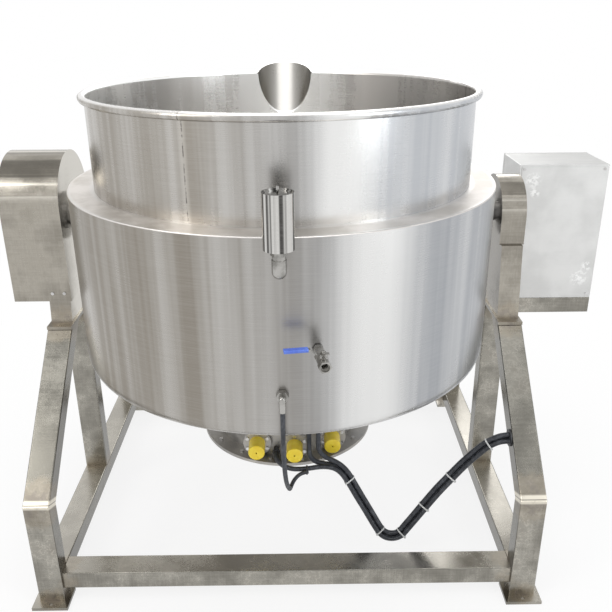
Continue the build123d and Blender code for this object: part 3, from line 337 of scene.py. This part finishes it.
def kettle_steel(name, warm, cool, bright, rough, painted_highlight_at, painted_inner_light, seam_at=None,
                 inner=(0.96, 0.96, 0.95)):
    """Rolled sheet with painted reflections: warm on one side, cool on the other, paler bands and one painted
    highlight band; faces turned to the axis get painted light and shade, upward faces painted light.
    """
    steel = Finish(name, metallic=1.0)
    side, back, reach, z = around(steel)
    bands = steel.noise(steel.vector(side * 5.0, back * 5.0, z * 0.35), 1.0, 3.0, 0.45)
    fine = steel.noise(steel.vector(side * 24.0, back * 24.0, z * 0.6), 1.0, 2.0, 0.5)
    cloud = steel.noise(steel.place, 5.0, 4.0, 0.55)
    lines = steel.noise(steel.vector(side * 6.0, back * 6.0, (z + reach) * 900.0), 1.0, 4.0, 0.7)
    wander = side + (bands - 0.5) * 0.20
    # Painted reflection of the room: warm and darker on one side, cooler and bluer on the other.
    colour = steel.mix(wander.ramp(-0.45, 0.75), warm, cool)
    # Wide and fine upright bands of painted reflection, mixed towards the bright tone.
    shade = bands.ramp(0.40, 0.62) * 0.6 + fine.ramp(0.35, 0.65) * 0.4
    colour = steel.mix(shade * 0.36, colour, bright)
    # One painted highlight band, an upright streak at a set side position.
    off = (wander - painted_highlight_at).math("ABSOLUTE")
    colour = steel.mix(off.ramp(0.03, 0.20, 0.85, 0.0), colour, bright)
    colour = steel.mix(lines.ramp(0.35, 0.75) * 0.12, colour, (0.80, 0.79, 0.77))
    normal = steel.node("ShaderNodeTexCoord", output="Normal")
    nx, ny, nz = steel.axes(normal)
    inward = (nx * side + ny * back).ramp(-0.35, 0.05, 1.0, 0.0)
    # Painted light and shade on faces turned to the axis: the inner tone on one side, a mid grey on the
    # other.
    painted_inner_tone = steel.mix(side.ramp(0.10, 0.55), inner, (0.50, 0.48, 0.46))
    colour = steel.mix(inward * painted_inner_light, colour, painted_inner_tone)
    # Painted light: upward faces paler.
    colour = steel.mix(nz.ramp(0.40, 0.85) * painted_inner_light, colour, (0.80, 0.79, 0.77))
    if seam_at is not None:
        front = back.ramp(-0.3, -0.1, 1.0, 0.0) * (1 - inward)
        seam = (side - seam_at + (cloud - 0.5) * 0.004).math("ABSOLUTE")
        broken = steel.noise(steel.place, 55.0, 4.0, 0.7)
        colour = steel.mix(seam.ramp(0.006, 0.022, 0.35, 0.0) * front, colour, (0.62, 0.59, 0.54))
        burnt = seam.ramp(0.001, 0.004, 0.8, 0.0) * front * broken.ramp(0.42, 0.60)
        colour = steel.mix(burnt, colour, (0.10, 0.09, 0.085))
    roughness = rough + (1 - shade) * 0.07 + cloud.ramp(0.4, 0.7) * 0.05 + lines.ramp(0.3, 0.7) * 0.04
    steel.to(base_color=colour, roughness=roughness, normal=steel.bump(lines, 0.04, 0.0002))
    return steel


# The number after the highlight place switches on the painted light and shade inside; inner is pale painted
# light in the pot and dark painted shade in the spout.
finishes["shell_steel"] = kettle_steel(
    "shell_steel", (0.27, 0.245, 0.21), (0.37, 0.385, 0.41), (0.84, 0.84, 0.83), 0.22, 0.37, 0.0)
finishes["pot_steel"] = kettle_steel(
    "pot_steel", (0.32, 0.295, 0.26), (0.48, 0.50, 0.53), (0.86, 0.86, 0.85), 0.20, 0.27, 1.0, -0.39)
spout_steel = kettle_steel(
    "spout_steel", (0.32, 0.295, 0.26), (0.48, 0.50, 0.53), (0.86, 0.86, 0.85), 0.24, 0.27, 1.0,
    inner=(0.20, 0.19, 0.17))
print("kettle steels", len(finishes))

# %% [markdown]
# ## Shoulder and sump
# The shoulder ring is blasted rather than polished: it reads as a warm matt grey, with a brighter
# line where the welds were ground back. The sump and its cover are thin plate left as it was
# rolled, duller and mottled.

# %% Shoulder and sump steel
shoulder = Finish("shoulder_steel", metallic=1.0)
reach = around(shoulder)[2]
grit = shoulder.noise(shoulder.place, 260.0, 3.0, 0.6)
cloud = shoulder.noise(shoulder.place, 9.0, 4.0, 0.6)
ground = reach.ramp(0.548, 0.560, 1.0, 0.0) + reach.ramp(0.603, 0.611)
colour = shoulder.mix(cloud.ramp(0.35, 0.65), (0.58, 0.55, 0.51), (0.74, 0.71, 0.68))
colour = shoulder.mix(ground.math("MINIMUM", 1.0) * 0.6, colour, (0.74, 0.72, 0.70))
shoulder.to(base_color=colour, roughness=0.46 + cloud.ramp(0.3, 0.7) * 0.10 - ground * 0.10,
            normal=shoulder.bump(grit, 0.10, 0.0004))
finishes["shoulder_steel"] = shoulder

sump = Finish("sump_steel", metallic=1.0)
mottle = sump.noise(sump.place, 22.0, 5.0, 0.65)
speck = sump.noise(sump.place, 150.0, 3.0, 0.6)
colour = sump.mix(mottle.ramp(0.35, 0.65), (0.40, 0.39, 0.375), (0.50, 0.485, 0.46))
colour = sump.mix(speck.ramp(0.60, 0.72) * 0.3, colour, (0.28, 0.26, 0.24))
sump.to(base_color=colour, roughness=0.40 + mottle.ramp(0.3, 0.7) * 0.16,
        normal=sump.bump(speck, 0.15, 0.0006))
finishes["sump_steel"] = sump
print("finishes", sorted(finishes))

# %% [markdown]
# ## Frame steel
# The frame is square tube, brushed lengthwise on a belt. Where it was welded the steel turned straw
# and blue-brown, and handling left dull stains. Heat marks sit at known joints, and both side frames
# are alike front and back, so one list of joints is measured with X and Y made positive. A leg's knee
# also has a ground weld, a pale band on the mitre with a dark line in it.

# %% Frame steel
KNEE = (0.6975, 0.56, 0.345)      # where a leg bends
HEAT_SPOTS = [(KNEE, 0.02, 0.10), ((0.6975, 0.16, 0.715), 0.015, 0.09),
              ((0.65, 0.53, 0.07), 0.015, 0.07), ((0.6975, 0.57, 0.015), 0.01, 0.06),
              ((0.6975, 0.0, 0.715), 0.015, 0.08), ((0.6975, 0.0, 0.105), 0.01, 0.07)]


# mirror weighs painted reflection bands against painted shade and light set by face direction.
def frame_finish(name, light, dark, rough, stain, mirror):
    steel = Finish(name, metallic=1.0)
    x, y, z = steel.axes()
    far_y = y.math("ABSOLUTE")
    one_side = steel.vector(x.math("ABSOLUTE"), far_y, z)
    heat = 0.0
    for spot, inner, outer in HEAT_SPOTS:
        heat = steel.near(spot, inner, outer, one_side) + heat
    ragged = steel.noise(steel.place, 38.0, 4.0, 0.6)
    heat = (heat * ragged.ramp(0.30, 0.62, 0.35, 1.1)).math("MINIMUM", 1.0)
    cloud = steel.noise(steel.place, 7.0, 5.0, 0.62)
    brush_long = steel.stretched(9.0, 9.0, 260.0, 1.0, 3.0)
    brush_level = steel.stretched(260.0, 260.0, 9.0, 1.0, 3.0)
    brush = brush_long * 0.5 + brush_level * 0.5
    colour = steel.mix(cloud.ramp(0.36, 0.64), dark, light)
    colour = steel.mix(brush.ramp(0.42, 0.60) * 0.12, colour, (0.62, 0.59, 0.54))
    colour = steel.mix(cloud.ramp(0.56, 0.70) * stain, colour, (0.20, 0.175, 0.15))
    net = steel.noise(steel.place, 26.0, 6.0, 0.72)
    veins = (net - 0.5).math("ABSOLUTE").ramp(0.0, 0.03, 1.0, 0.0) * cloud.ramp(0.45, 0.62)
    colour = steel.mix(veins * (0.40 - mirror * 0.45), colour, (0.74, 0.70, 0.62))
    normal = steel.node("ShaderNodeTexCoord", output="Normal")
    nx, ny, nz = steel.axes(normal)
    # Painted reflection: bright and dark patches that follow the face direction, on faces not turned to ±Y.
    painted_reflection_sweep = steel.noise(steel.vector(nx * 1.5, ny * 3.2, nz * 3.2), 1.0, 2.0, 0.5)
    curved = ny.math("ABSOLUTE").ramp(0.93, 0.99, 1.0, 0.0)
    colour = steel.mix(painted_reflection_sweep.ramp(0.52, 0.60) * curved * mirror, colour, (0.80, 0.77, 0.70))
    colour = steel.mix(painted_reflection_sweep.ramp(0.40, 0.47, 1.0, 0.0) * curved * mirror, colour, (0.11, 0.10, 0.085))
    # Painted shade on sloped faces.
    painted_slope_shade = nz.ramp(0.30, 0.50) * nz.ramp(0.85, 0.95, 1.0, 0.0) * (1 - mirror)
    colour = steel.mix(painted_slope_shade * 0.55, colour, (0.17, 0.165, 0.145))
    # Painted light on upward faces.
    colour = steel.mix(nz.ramp(0.92, 0.99) * (1 - mirror) * 0.45, colour, (0.62, 0.59, 0.53))
    # Painted shade on faces turned to ±X, the sides of the tubes.
    painted_side_shade = nx.math("ABSOLUTE").ramp(0.6, 0.95)
    colour = steel.mix(painted_side_shade * (0.62 - mirror * 0.5), colour, (0.09, 0.09, 0.085))
    colour = steel.mix(heat.ramp(0.05, 0.45) * 0.18, colour, (0.40, 0.31, 0.20))
    colour = steel.mix(heat.ramp(0.60, 0.95) * 0.25, colour, (0.16, 0.14, 0.15))
    mitre = ((z - KNEE[2]) * 0.916 - (far_y - KNEE[1]) * 0.40).math("ABSOLUTE")
    knee = steel.near(KNEE, 0.07, 0.10, one_side)
    ground = mitre.ramp(0.009, 0.015, 1.0, 0.0) * knee * ragged.ramp(0.30, 0.45, 0.6, 1.0)
    colour = steel.mix(ground.math("MINIMUM", 1.0) * 0.8, colour, (0.84, 0.79, 0.68))
    joint = mitre.ramp(0.0008, 0.0022, 1.0, 0.0) * knee.math("MINIMUM", 1.0)
    colour = steel.mix(joint * 0.7, colour, (0.12, 0.11, 0.10))
    steel.to(base_color=colour,
             roughness=rough + cloud.ramp(0.3, 0.7) * 0.12 + brush.ramp(0.4, 0.6) * 0.06 + heat * 0.10,
             normal=steel.bump(brush, 0.10, 0.0003))
    return steel


finishes["frame_steel"] = frame_finish(
    "frame_steel", (0.37, 0.355, 0.315), (0.21, 0.20, 0.175), 0.17, 0.45, 0.0)
finishes["bright_steel"] = frame_finish(
    "bright_steel", (0.40, 0.375, 0.325), (0.27, 0.25, 0.215), 0.11, 0.25, 0.8)
print("frame steels ready")

# %% [markdown]
# ## Plastics, castings and small metal
# Moulded plastic is never quite smooth: a faint grain breaks its highlight. Each of these takes two
# tones and the scale of its grain.

# %% Small finishes


def grained(name, tone, second, rough, scale, metallic=0.0, bump=0.08, depth=0.0004, coat=0.0):
    made = Finish(name, metallic=metallic, coat_weight=coat)
    wide = made.noise(made.place, scale * 0.12, 4.0, 0.6)
    tight = made.noise(made.place, scale, 3.0, 0.6)
    made.to(base_color=made.mix(wide.ramp(0.38, 0.64), tone, second),
            roughness=rough + wide.ramp(0.3, 0.7) * 0.10 + tight.ramp(0.4, 0.6) * 0.05,
            normal=made.bump(tight, bump, depth))
    return made


for slot_name, first, second, rough, scale, metallic, bump in (
        ("bolt_steel", (0.70, 0.70, 0.70), (0.52, 0.51, 0.50), 0.24, 90.0, 1.0, 0.06),
        ("element_steel", (0.52, 0.51, 0.50), (0.36, 0.35, 0.34), 0.30, 120.0, 1.0, 0.08),
        ("bronze", (0.74, 0.55, 0.28), (0.60, 0.42, 0.20), 0.28, 120.0, 1.0, 0.08),
        ("mineral_wool", (0.66, 0.62, 0.48), (0.54, 0.49, 0.36), 0.90, 240.0, 0.0, 0.6),
        ("gland_black", (0.035, 0.036, 0.040), (0.060, 0.062, 0.068), 0.42, 420.0, 0.0, 0.10),
        ("fitting_steel", (0.46, 0.45, 0.43), (0.24, 0.235, 0.22), 0.17, 140.0, 1.0, 0.05),
        ("sleeve_blue", (0.08, 0.15, 0.62), (0.12, 0.22, 0.72), 0.30, 300.0, 0.0, 0.06),
        ("cast_grey", (0.30, 0.31, 0.32), (0.22, 0.23, 0.24), 0.45, 210.0, 0.0, 0.30),
        ("motor_paint", (0.12, 0.20, 0.33), (0.16, 0.25, 0.38), 0.36, 260.0, 0.0, 0.12),
        ("display_face", (0.012, 0.012, 0.016), (0.020, 0.020, 0.026), 0.10, 300.0, 0.0, 0.02),
        ("button_green", (0.03, 0.40, 0.10), (0.05, 0.48, 0.14), 0.26, 350.0, 0.0, 0.05),
        ("button_black", (0.020, 0.020, 0.022), (0.040, 0.040, 0.042), 0.34, 350.0, 0.0, 0.08),
        ("button_red", (0.62, 0.030, 0.022), (0.72, 0.050, 0.035), 0.26, 350.0, 0.0, 0.05)):
    finishes[slot_name] = grained(slot_name, first, second, rough, scale, metallic, bump)
print("small finishes", len(finishes))

# %% [markdown]
# ## The filler cup's polish and painted reflection
# The cup is turned and polished. Its reflection of the room is painted into its colour as narrow dark
# and bright upright bands. They follow the way the wall faces, so a noise that reads the surface's own
# direction gives them.

# %% Cup steel
cup_steel = Finish("cup_steel", metallic=1.0)
faces = cup_steel.axes(cup_steel.node("ShaderNodeTexCoord", output="Normal"))
painted_reflection_strips = cup_steel.noise(cup_steel.vector(faces[0] * 3.4, faces[1] * 3.4, faces[2] * 1.2), 1.0, 3.0, 0.6)
rubbed = cup_steel.stretched(40.0, 40.0, 700.0)
# Painted reflection: dark and bright upright bands.
colour = cup_steel.mix(painted_reflection_strips.ramp(0.42, 0.58), (0.07, 0.068, 0.065), (0.62, 0.61, 0.59))
colour = cup_steel.mix(rubbed.ramp(0.45, 0.62) * 0.15, colour, (0.45, 0.44, 0.42))
cup_steel.to(base_color=colour, roughness=0.14 + rubbed.ramp(0.4, 0.6) * 0.08,
             normal=cup_steel.bump(rubbed, 0.05, 0.0002))
print("cup nodes", len(cup_steel.tree.nodes))

# %% [markdown]
# ## Yellow terminal caps
# The caps that close the heaters' terminals are moulded in a strong warm yellow. Browner, darker
# blotches lie over them, stronger towards the bottom.

# %% Cap yellow
cap = Finish("cap_yellow", coat_weight=0.15)
z = cap.axes()[2]
grain = cap.noise(cap.place, 320.0, 3.0, 0.6)
brown_blotch = cap.noise(cap.place, 42.0, 4.0, 0.65)
low = z.ramp(0.360, 0.400, 1.0, 0.0)
colour = cap.mix(brown_blotch.ramp(0.35, 0.65), (0.90, 0.66, 0.030), (0.96, 0.76, 0.060))
# Browner and darker in blotches, more so towards the bottom.
colour = cap.mix((low * 0.6 + 0.4) * brown_blotch.ramp(0.58, 0.75) * 0.7, colour, (0.50, 0.33, 0.05))
cap.to(base_color=colour, roughness=0.34 + brown_blotch.ramp(0.3, 0.7) * 0.14, normal=cap.bump(grain, 0.10, 0.0003))
finishes["cap_yellow"] = cap
print("cap nodes", len(cap.tree.nodes))

# %% [markdown]
# ## Control box sheet
# The box is folded from matt sheet with a faint level grain. Its protective film was peeled off, and
# pale glue stayed near two corners of the sheet that faces back. A few soft patches give that.

# %% Box steel
box = Finish("box_steel", metallic=0.75)
x, y, z = box.axes()
grain = box.noise(box.vector(x * 6.0, y * 60.0, z * 420.0), 1.0, 3.0, 0.65)
cloud = box.noise(box.place, 6.0, 4.0, 0.6)
glue = 0.0
for spot, size in (((0.79, 0.03, 1.12), 0.032), ((0.80, 0.03, 1.08), 0.022), ((0.98, 0.03, 0.79), 0.038),
                   ((1.0, 0.03, 0.83), 0.024)):
    glue = box.near(spot, size * 0.3, size) + glue
tatter = box.noise(box.place, 75.0, 4.0, 0.7)
glue = (glue * tatter.ramp(0.47, 0.55)).math("MINIMUM", 1.0)
colour = box.mix(cloud.ramp(0.35, 0.65), (0.62, 0.62, 0.61), (0.72, 0.72, 0.71))
# Painted shade: upward faces darker.
painted_top_shade = box.axes(box.node("ShaderNodeTexCoord", output="Normal"))[2].ramp(0.8, 0.95)
colour = box.mix(painted_top_shade * 0.6, colour, (0.42, 0.42, 0.41))
colour = box.mix(glue, colour, (0.93, 0.93, 0.92))
box.to(base_color=colour, metallic=0.75 - glue * 0.6,
       roughness=0.40 + grain.ramp(0.4, 0.6) * 0.08 + glue * 0.2, normal=box.bump(grain, 0.06, 0.0003))
finishes["box_steel"] = box
print("box nodes", len(box.tree.nodes))

# %% [markdown]
# ## Conduit black
# The heaters' wires run in corrugated plastic sleeves. The ribs are real shape further down. The
# plastic is a dark blue-black with a satin shine and dust in its grooves.

# %% Conduit finish
sleeve = Finish("cable_black")
dust = sleeve.noise(sleeve.place, 60.0, 4.0, 0.7)
worn = sleeve.noise(sleeve.place, 14.0, 3.0, 0.6)
colour = sleeve.mix(dust.ramp(0.40, 0.72), (0.022, 0.025, 0.032), (0.075, 0.082, 0.095))
sleeve.to(base_color=colour, roughness=0.30 + worn.ramp(0.3, 0.7) * 0.16,
          normal=sleeve.bump(dust, 0.05, 0.0002))
finishes["cable_black"] = sleeve

for part in frame["record"]["subparts"]:
    if part["material_slot"] in finishes:
        surface = nodes[part["node"]].data.materials
        surface.clear()
        surface.append(finishes[part["material_slot"]].material)
for name, special in (("pour_spout", spout_steel), ("filler_cup", cup_steel), ("filler_cup_lid", cup_steel)):
    nodes[name].data.materials[0] = special.material
bare = [p["node"] for p in frame["record"]["subparts"] if p["material_slot"] not in finishes]
print("without a finish:", bare)

# %% [markdown]
# ## Conduits as hanging cords
# Three corrugated sleeves leave the heater sump, drop in one bundle under their own weight and enter
# the right leg. A hanging sleeve is one smooth curve, so each is a spline through a few chosen
# points. A long narrow grid is then rolled up around the points read from that spline, and it swells
# and shrinks once a rib. That gives real ribs, which a bump map can't give at the outline.

# %% Cord routes
FRONT_ROUTE = [
    (-0.032, -0.252, 0.366), (-0.032, -0.2715, 0.366), (-0.025, -0.289, 0.362), (-0.011, -0.3025, 0.355),
    (0.007, -0.3095, 0.35), (0.03, -0.311, 0.347), (0.064, -0.31, 0.348), (0.096, -0.306, 0.351),
    (0.118, -0.305, 0.351), (0.14, -0.3045, 0.347), (0.158, -0.3045, 0.336), (0.173, -0.3045, 0.318),
    (0.193, -0.3045, 0.281), (0.216, -0.3045, 0.234), (0.239, -0.3045, 0.191), (0.258, -0.305, 0.153),
    (0.275, -0.305, 0.12), (0.292, -0.3055, 0.092), (0.313, -0.306, 0.0775), (0.3385, -0.3065, 0.076),
    (0.3615, -0.307, 0.0875), (0.38, -0.3075, 0.117), (0.402, -0.308, 0.151), (0.432, -0.309, 0.199),
    (0.469, -0.3105, 0.257), (0.501, -0.312, 0.301), (0.536, -0.314, 0.35), (0.57, -0.317, 0.391),
    (0.594, -0.321, 0.42), (0.61, -0.3245, 0.4345), (0.6285, -0.328, 0.446), (0.648, -0.3315, 0.4516),
    (0.671, -0.3315, 0.4516)]
BACK_ROUTE = [
    (0.069, -0.236, 0.447), (0.069, -0.254, 0.447), (0.069, -0.2705, 0.44), (0.069, -0.283, 0.4275),
    (0.069, -0.29, 0.411), (0.0695, -0.29, 0.388), (0.076, -0.29, 0.3715), (0.0885, -0.2895, 0.359),
    (0.105, -0.2885, 0.352), (0.124, -0.288, 0.3495), (0.142, -0.2875, 0.3455), (0.1585, -0.2875, 0.335),
    (0.173, -0.2875, 0.317), (0.193, -0.2875, 0.28), (0.216, -0.2875, 0.233), (0.239, -0.2875, 0.19),
    (0.258, -0.288, 0.152), (0.275, -0.288, 0.119), (0.292, -0.2885, 0.091), (0.313, -0.289, 0.0765),
    (0.3385, -0.2895, 0.075), (0.3615, -0.29, 0.0865), (0.38, -0.2905, 0.116), (0.402, -0.291, 0.15),
    (0.432, -0.292, 0.198), (0.469, -0.2935, 0.256), (0.501, -0.295, 0.3), (0.536, -0.297, 0.349),
    (0.57, -0.3, 0.39), (0.594, -0.304, 0.419), (0.61, -0.307, 0.4335), (0.6285, -0.311, 0.4455),
    (0.648, -0.3145, 0.4516), (0.671, -0.3145, 0.4516)]
TOP_ROUTE = [
    (0.097, -0.232, 0.466), (0.097, -0.254, 0.466), (0.097, -0.2735, 0.459), (0.097, -0.287, 0.4465),
    (0.097, -0.295, 0.43), (0.0975, -0.296, 0.411), (0.104, -0.296, 0.3955), (0.1165, -0.296, 0.382),
    (0.133, -0.296, 0.371), (0.151, -0.296, 0.361), (0.169, -0.296, 0.347), (0.187, -0.296, 0.325),
    (0.2065, -0.296, 0.288), (0.23, -0.2965, 0.241), (0.2525, -0.2965, 0.198), (0.2715, -0.2965, 0.1605),
    (0.288, -0.297, 0.128), (0.301, -0.297, 0.104), (0.317, -0.2975, 0.0935), (0.336, -0.298, 0.092),
    (0.352, -0.2985, 0.1), (0.3665, -0.299, 0.1245), (0.389, -0.2995, 0.159), (0.419, -0.3005, 0.207),
    (0.456, -0.302, 0.2655), (0.4885, -0.304, 0.31), (0.5235, -0.307, 0.3595), (0.558, -0.31, 0.401),
    (0.583, -0.314, 0.4305), (0.602, -0.3175, 0.447), (0.6265, -0.321, 0.4625), (0.648, -0.323, 0.468),
    (0.671, -0.323, 0.468)]
SENSOR_ROUTE = [
    (0.003, -0.6405, 0.744), (0.003, -0.6405, 0.7), (0.003, -0.639, 0.64), (0.004, -0.624, 0.576),
    (0.006, -0.592, 0.514), (0.009, -0.542, 0.458), (0.011, -0.486, 0.409), (0.012, -0.436, 0.369),
    (0.013, -0.4, 0.344), (0.016, -0.37, 0.333), (0.023, -0.345, 0.332), (0.035, -0.33, 0.338),
    (0.05, -0.3256, 0.3445), (0.067, -0.3246, 0.3478)]


def smooth_line(name, route):
    """Points along a smooth spline whose control points are the route, measured from the kettle's axis."""
    data = bpy.data.curves.new(name, "CURVE")
    data.dimensions = "3D"
    data.resolution_u = 12
    spline = data.splines.new("NURBS")
    spline.points.add(len(route) - 1)
    for point, (x, y, z) in zip(spline.points, route):
        point.co = (x, y + KETTLE_Y, z, 1)
    spline.order_u = 3
    spline.use_endpoint_u = True
    guide = bpy.data.objects.new(name, data)
    bpy.context.scene.collection.objects.link(guide)
    bpy.context.view_layer.update()
    mesh = bpy.data.meshes.new_from_object(guide)
    line = [v.co.copy() for v in mesh.vertices]
    bpy.data.objects.remove(guide)
    bpy.data.curves.remove(data)
    bpy.data.meshes.remove(mesh)
    return line


def evenly(line, step):
    """The same line with points an even step apart."""
    even, carried = [line[0]], 0.0
    for a, b in zip(line, line[1:]):
        run = (b - a).length
        spot = step - carried
        while spot <= run:
            even.append(a.lerp(b, spot / run))
            spot += step
        carried = run - (spot - step)
    if (even[-1] - line[-1]).length > step * 0.25:
        even.append(line[-1])
    return even


def line_length(line):
    return sum((b - a).length for a, b in zip(line, line[1:]))


lines = {name: smooth_line(name, route) for name, route in (
    ("conduit_front", FRONT_ROUTE), ("conduit_back", BACK_ROUTE), ("conduit_top", TOP_ROUTE),
    ("sensor_cable", SENSOR_ROUTE))}
print({name: round(line_length(line), 4) for name, line in lines.items()})

# %% Ribbed tube


def dressed(name, shape, finish_name):
    """A finished object at the origin, with its finish."""
    mesh = bpy.data.meshes.new(name)
    shape.to_mesh(mesh)
    shape.free()
    piece = bpy.data.objects.new(name, mesh)
    bpy.context.scene.collection.objects.link(piece)
    mesh.materials.append(finishes[finish_name].material)
    return piece


def ribbed_tube(name, line, radius, pitch, groove, finish_name):
    """Rolls a grid up round a line. Two of each four rings are crest, two are groove."""
    spots = evenly(line, pitch / 4)
    last = len(spots) - 1
    heading = (spots[1] - spots[0]).normalized()
    turn = Vector((0, 0, 1)).rotation_difference(heading)
    places = []
    for number, spot in enumerate(spots):
        ahead = (spots[min(number + 1, last)] - spots[max(number - 1, 0)]).normalized()
        turn = heading.rotation_difference(ahead) @ turn
        heading = ahead
        places.append(Matrix.Translation(spot) @ turn.to_matrix().to_4x4())
    shape = bmesh.new()
    bmesh.ops.create_grid(shape, x_segments=14, y_segments=last, size=1.0)
    for vert in shape.verts:
        number = round((vert.co.y + 1) / 2 * last)
        angle = (vert.co.x + 1) * pi
        size = radius - (groove if number % 4 > 1 else 0.0)
        vert.co = places[number] @ Vector((cos(angle) * size, sin(angle) * size, 0))
    bmesh.ops.remove_doubles(shape, verts=shape.verts[:], dist=0.00001)
    bmesh.ops.holes_fill(shape, edges=shape.edges[:], sides=0)
    bmesh.ops.recalc_face_normals(shape, faces=shape.faces[:])
    for face in shape.faces:
        face.smooth = len(face.verts) == 4
    return dressed(name, shape, finish_name), spots


STRANDS = ("conduit_front", "conduit_back", "conduit_top")
SLEEVE_R, SLEEVE_PITCH, SLEEVE_GROOVE = 0.008, 0.0034, 0.0010
LEAD_R, LEAD_PITCH, LEAD_GROOVE = 0.006, 0.0024, 0.0004
sleeves = {}
for name in STRANDS:
    sleeves[name] = ribbed_tube(
        name + "_sleeve", lines[name], SLEEVE_R, SLEEVE_PITCH, SLEEVE_GROOVE, "cable_black")
sleeves["sensor_cable"] = ribbed_tube(
    "sensor_lead", lines["sensor_cable"], LEAD_R, LEAD_PITCH, LEAD_GROOVE, "cable_black")
print({name: len(piece.data.polygons) for name, (piece, path) in sleeves.items()})

# %% [markdown]
# ## Ties round the bundle
# Nylon ties pull the three sleeves together every hand's width. A tie takes the outline of what it
# holds, so it is the hull of three short rings, with its flat ends taken off and a wall added. A
# small locking head sits on the outside.

# %% Bundle ties
TIE_PLACES = (0.185, 0.285, 0.365, 0.430, 0.505, 0.605)      # along X
TIE_R = 0.0084             # a little over the sleeve
TIE_HALF = 0.0022
TIE_WALL = 0.0011
HEAD_SIZE = (0.005, 0.007, 0.006)
nylon = Finish("tie_nylon", coat_weight=0.1)
haze = nylon.noise(nylon.place, 180.0, 3.0, 0.6)
nylon.to(base_color=nylon.mix(haze.ramp(0.35, 0.65), (0.60, 0.61, 0.60), (0.74, 0.75, 0.74)),
         roughness=0.38 + haze.ramp(0.3, 0.7) * 0.10, normal=nylon.bump(haze, 0.05, 0.0002))


def bundle_tie(number, along_x):
    """A band round the three sleeves, square to the front one."""
    front = lines["conduit_front"]
    here = min(range(1, len(front) - 1), key=lambda i: abs(front[i].x - along_x))
    centre, heading = front[here], (front[here + 1] - front[here - 1]).normalized()
    turn = Vector((0, 0, 1)).rotation_difference(heading).to_matrix().to_4x4()
    shape = bmesh.new()
    middles = []
    for name in STRANDS:
        close = [p for p in lines[name] if (p - centre).length < 0.06]
        spot = min(close, key=lambda p: abs((p - centre).dot(heading)))
        spot = spot - heading * (spot - centre).dot(heading)
        middles.append(spot)
        for shift in (-TIE_HALF, TIE_HALF):
            bmesh.ops.create_circle(shape, segments=20, radius=TIE_R, cap_ends=False,
                                    matrix=Matrix.Translation(spot + heading * shift) @ turn)
    hull = bmesh.ops.convex_hull(shape, input=shape.verts[:])
    spare = {g for g in hull["geom_interior"] + hull["geom_unused"] if isinstance(g, bmesh.types.BMVert)}
    bmesh.ops.delete(shape, geom=list(spare), context="VERTS")
    shape.normal_update()
    ends = [f for f in shape.faces if abs(f.normal.dot(heading)) > 0.7]
    bmesh.ops.delete(shape, geom=ends, context="FACES")
    loose = [e for e in shape.edges if not e.link_faces]
    bmesh.ops.delete(shape, geom=loose, context="EDGES")
    bmesh.ops.recalc_face_normals(shape, faces=shape.faces[:])
    bmesh.ops.solidify(shape, geom=shape.faces[:], thickness=-TIE_WALL)
    outward = (sum(middles, Vector()) / -3 + middles[0]).normalized()
    head = Matrix.Translation(middles[0] + outward * 0.0105) @ turn @ Matrix.Diagonal((*HEAD_SIZE, 1))
    made = bmesh.ops.create_cube(shape, size=1.0, matrix=head)
    rim = {e for v in made["verts"] for e in v.link_edges}
    bmesh.ops.bevel(shape, geom=list(rim), offset=0.0007, segments=2, affect="EDGES",
                    profile=0.5, material=-1)
    piece = dressed(f"bundle_tie_{number}", shape, "gland_black")
    piece.data.materials.clear()
    piece.data.materials.append(nylon.material)
    return piece


ties = [bundle_tie(number, along_x) for number, along_x in enumerate(TIE_PLACES, 1)]
print("ties", len(ties))

# %% [markdown]
# ## The cords in place of the model's conduits
# The sleeves start on the kettle and end in the leg. Sleeves and ties are baked where they stand, the
# model's rigid conduit pieces are hidden, and the sensor lead rides with the kettle.

# %% Cords baked in place
for piece in [sleeves[name][0] for name in STRANDS] + ties:
    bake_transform(piece)
for name, route, length, held in (
        ("conduit_front", FRONT_ROUTE, 1.0804, ties),
        ("conduit_back", BACK_ROUTE, 1.0507, []),
        ("conduit_top", TOP_ROUTE, 1.0037, [])):
    piece, path = sleeves[name]
    x, y, z = route[0]
    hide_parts(name)
    y + KETTLE_Y
piece, path = sleeves["sensor_cable"]
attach(piece, "kettle")
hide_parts("sensor_cable")
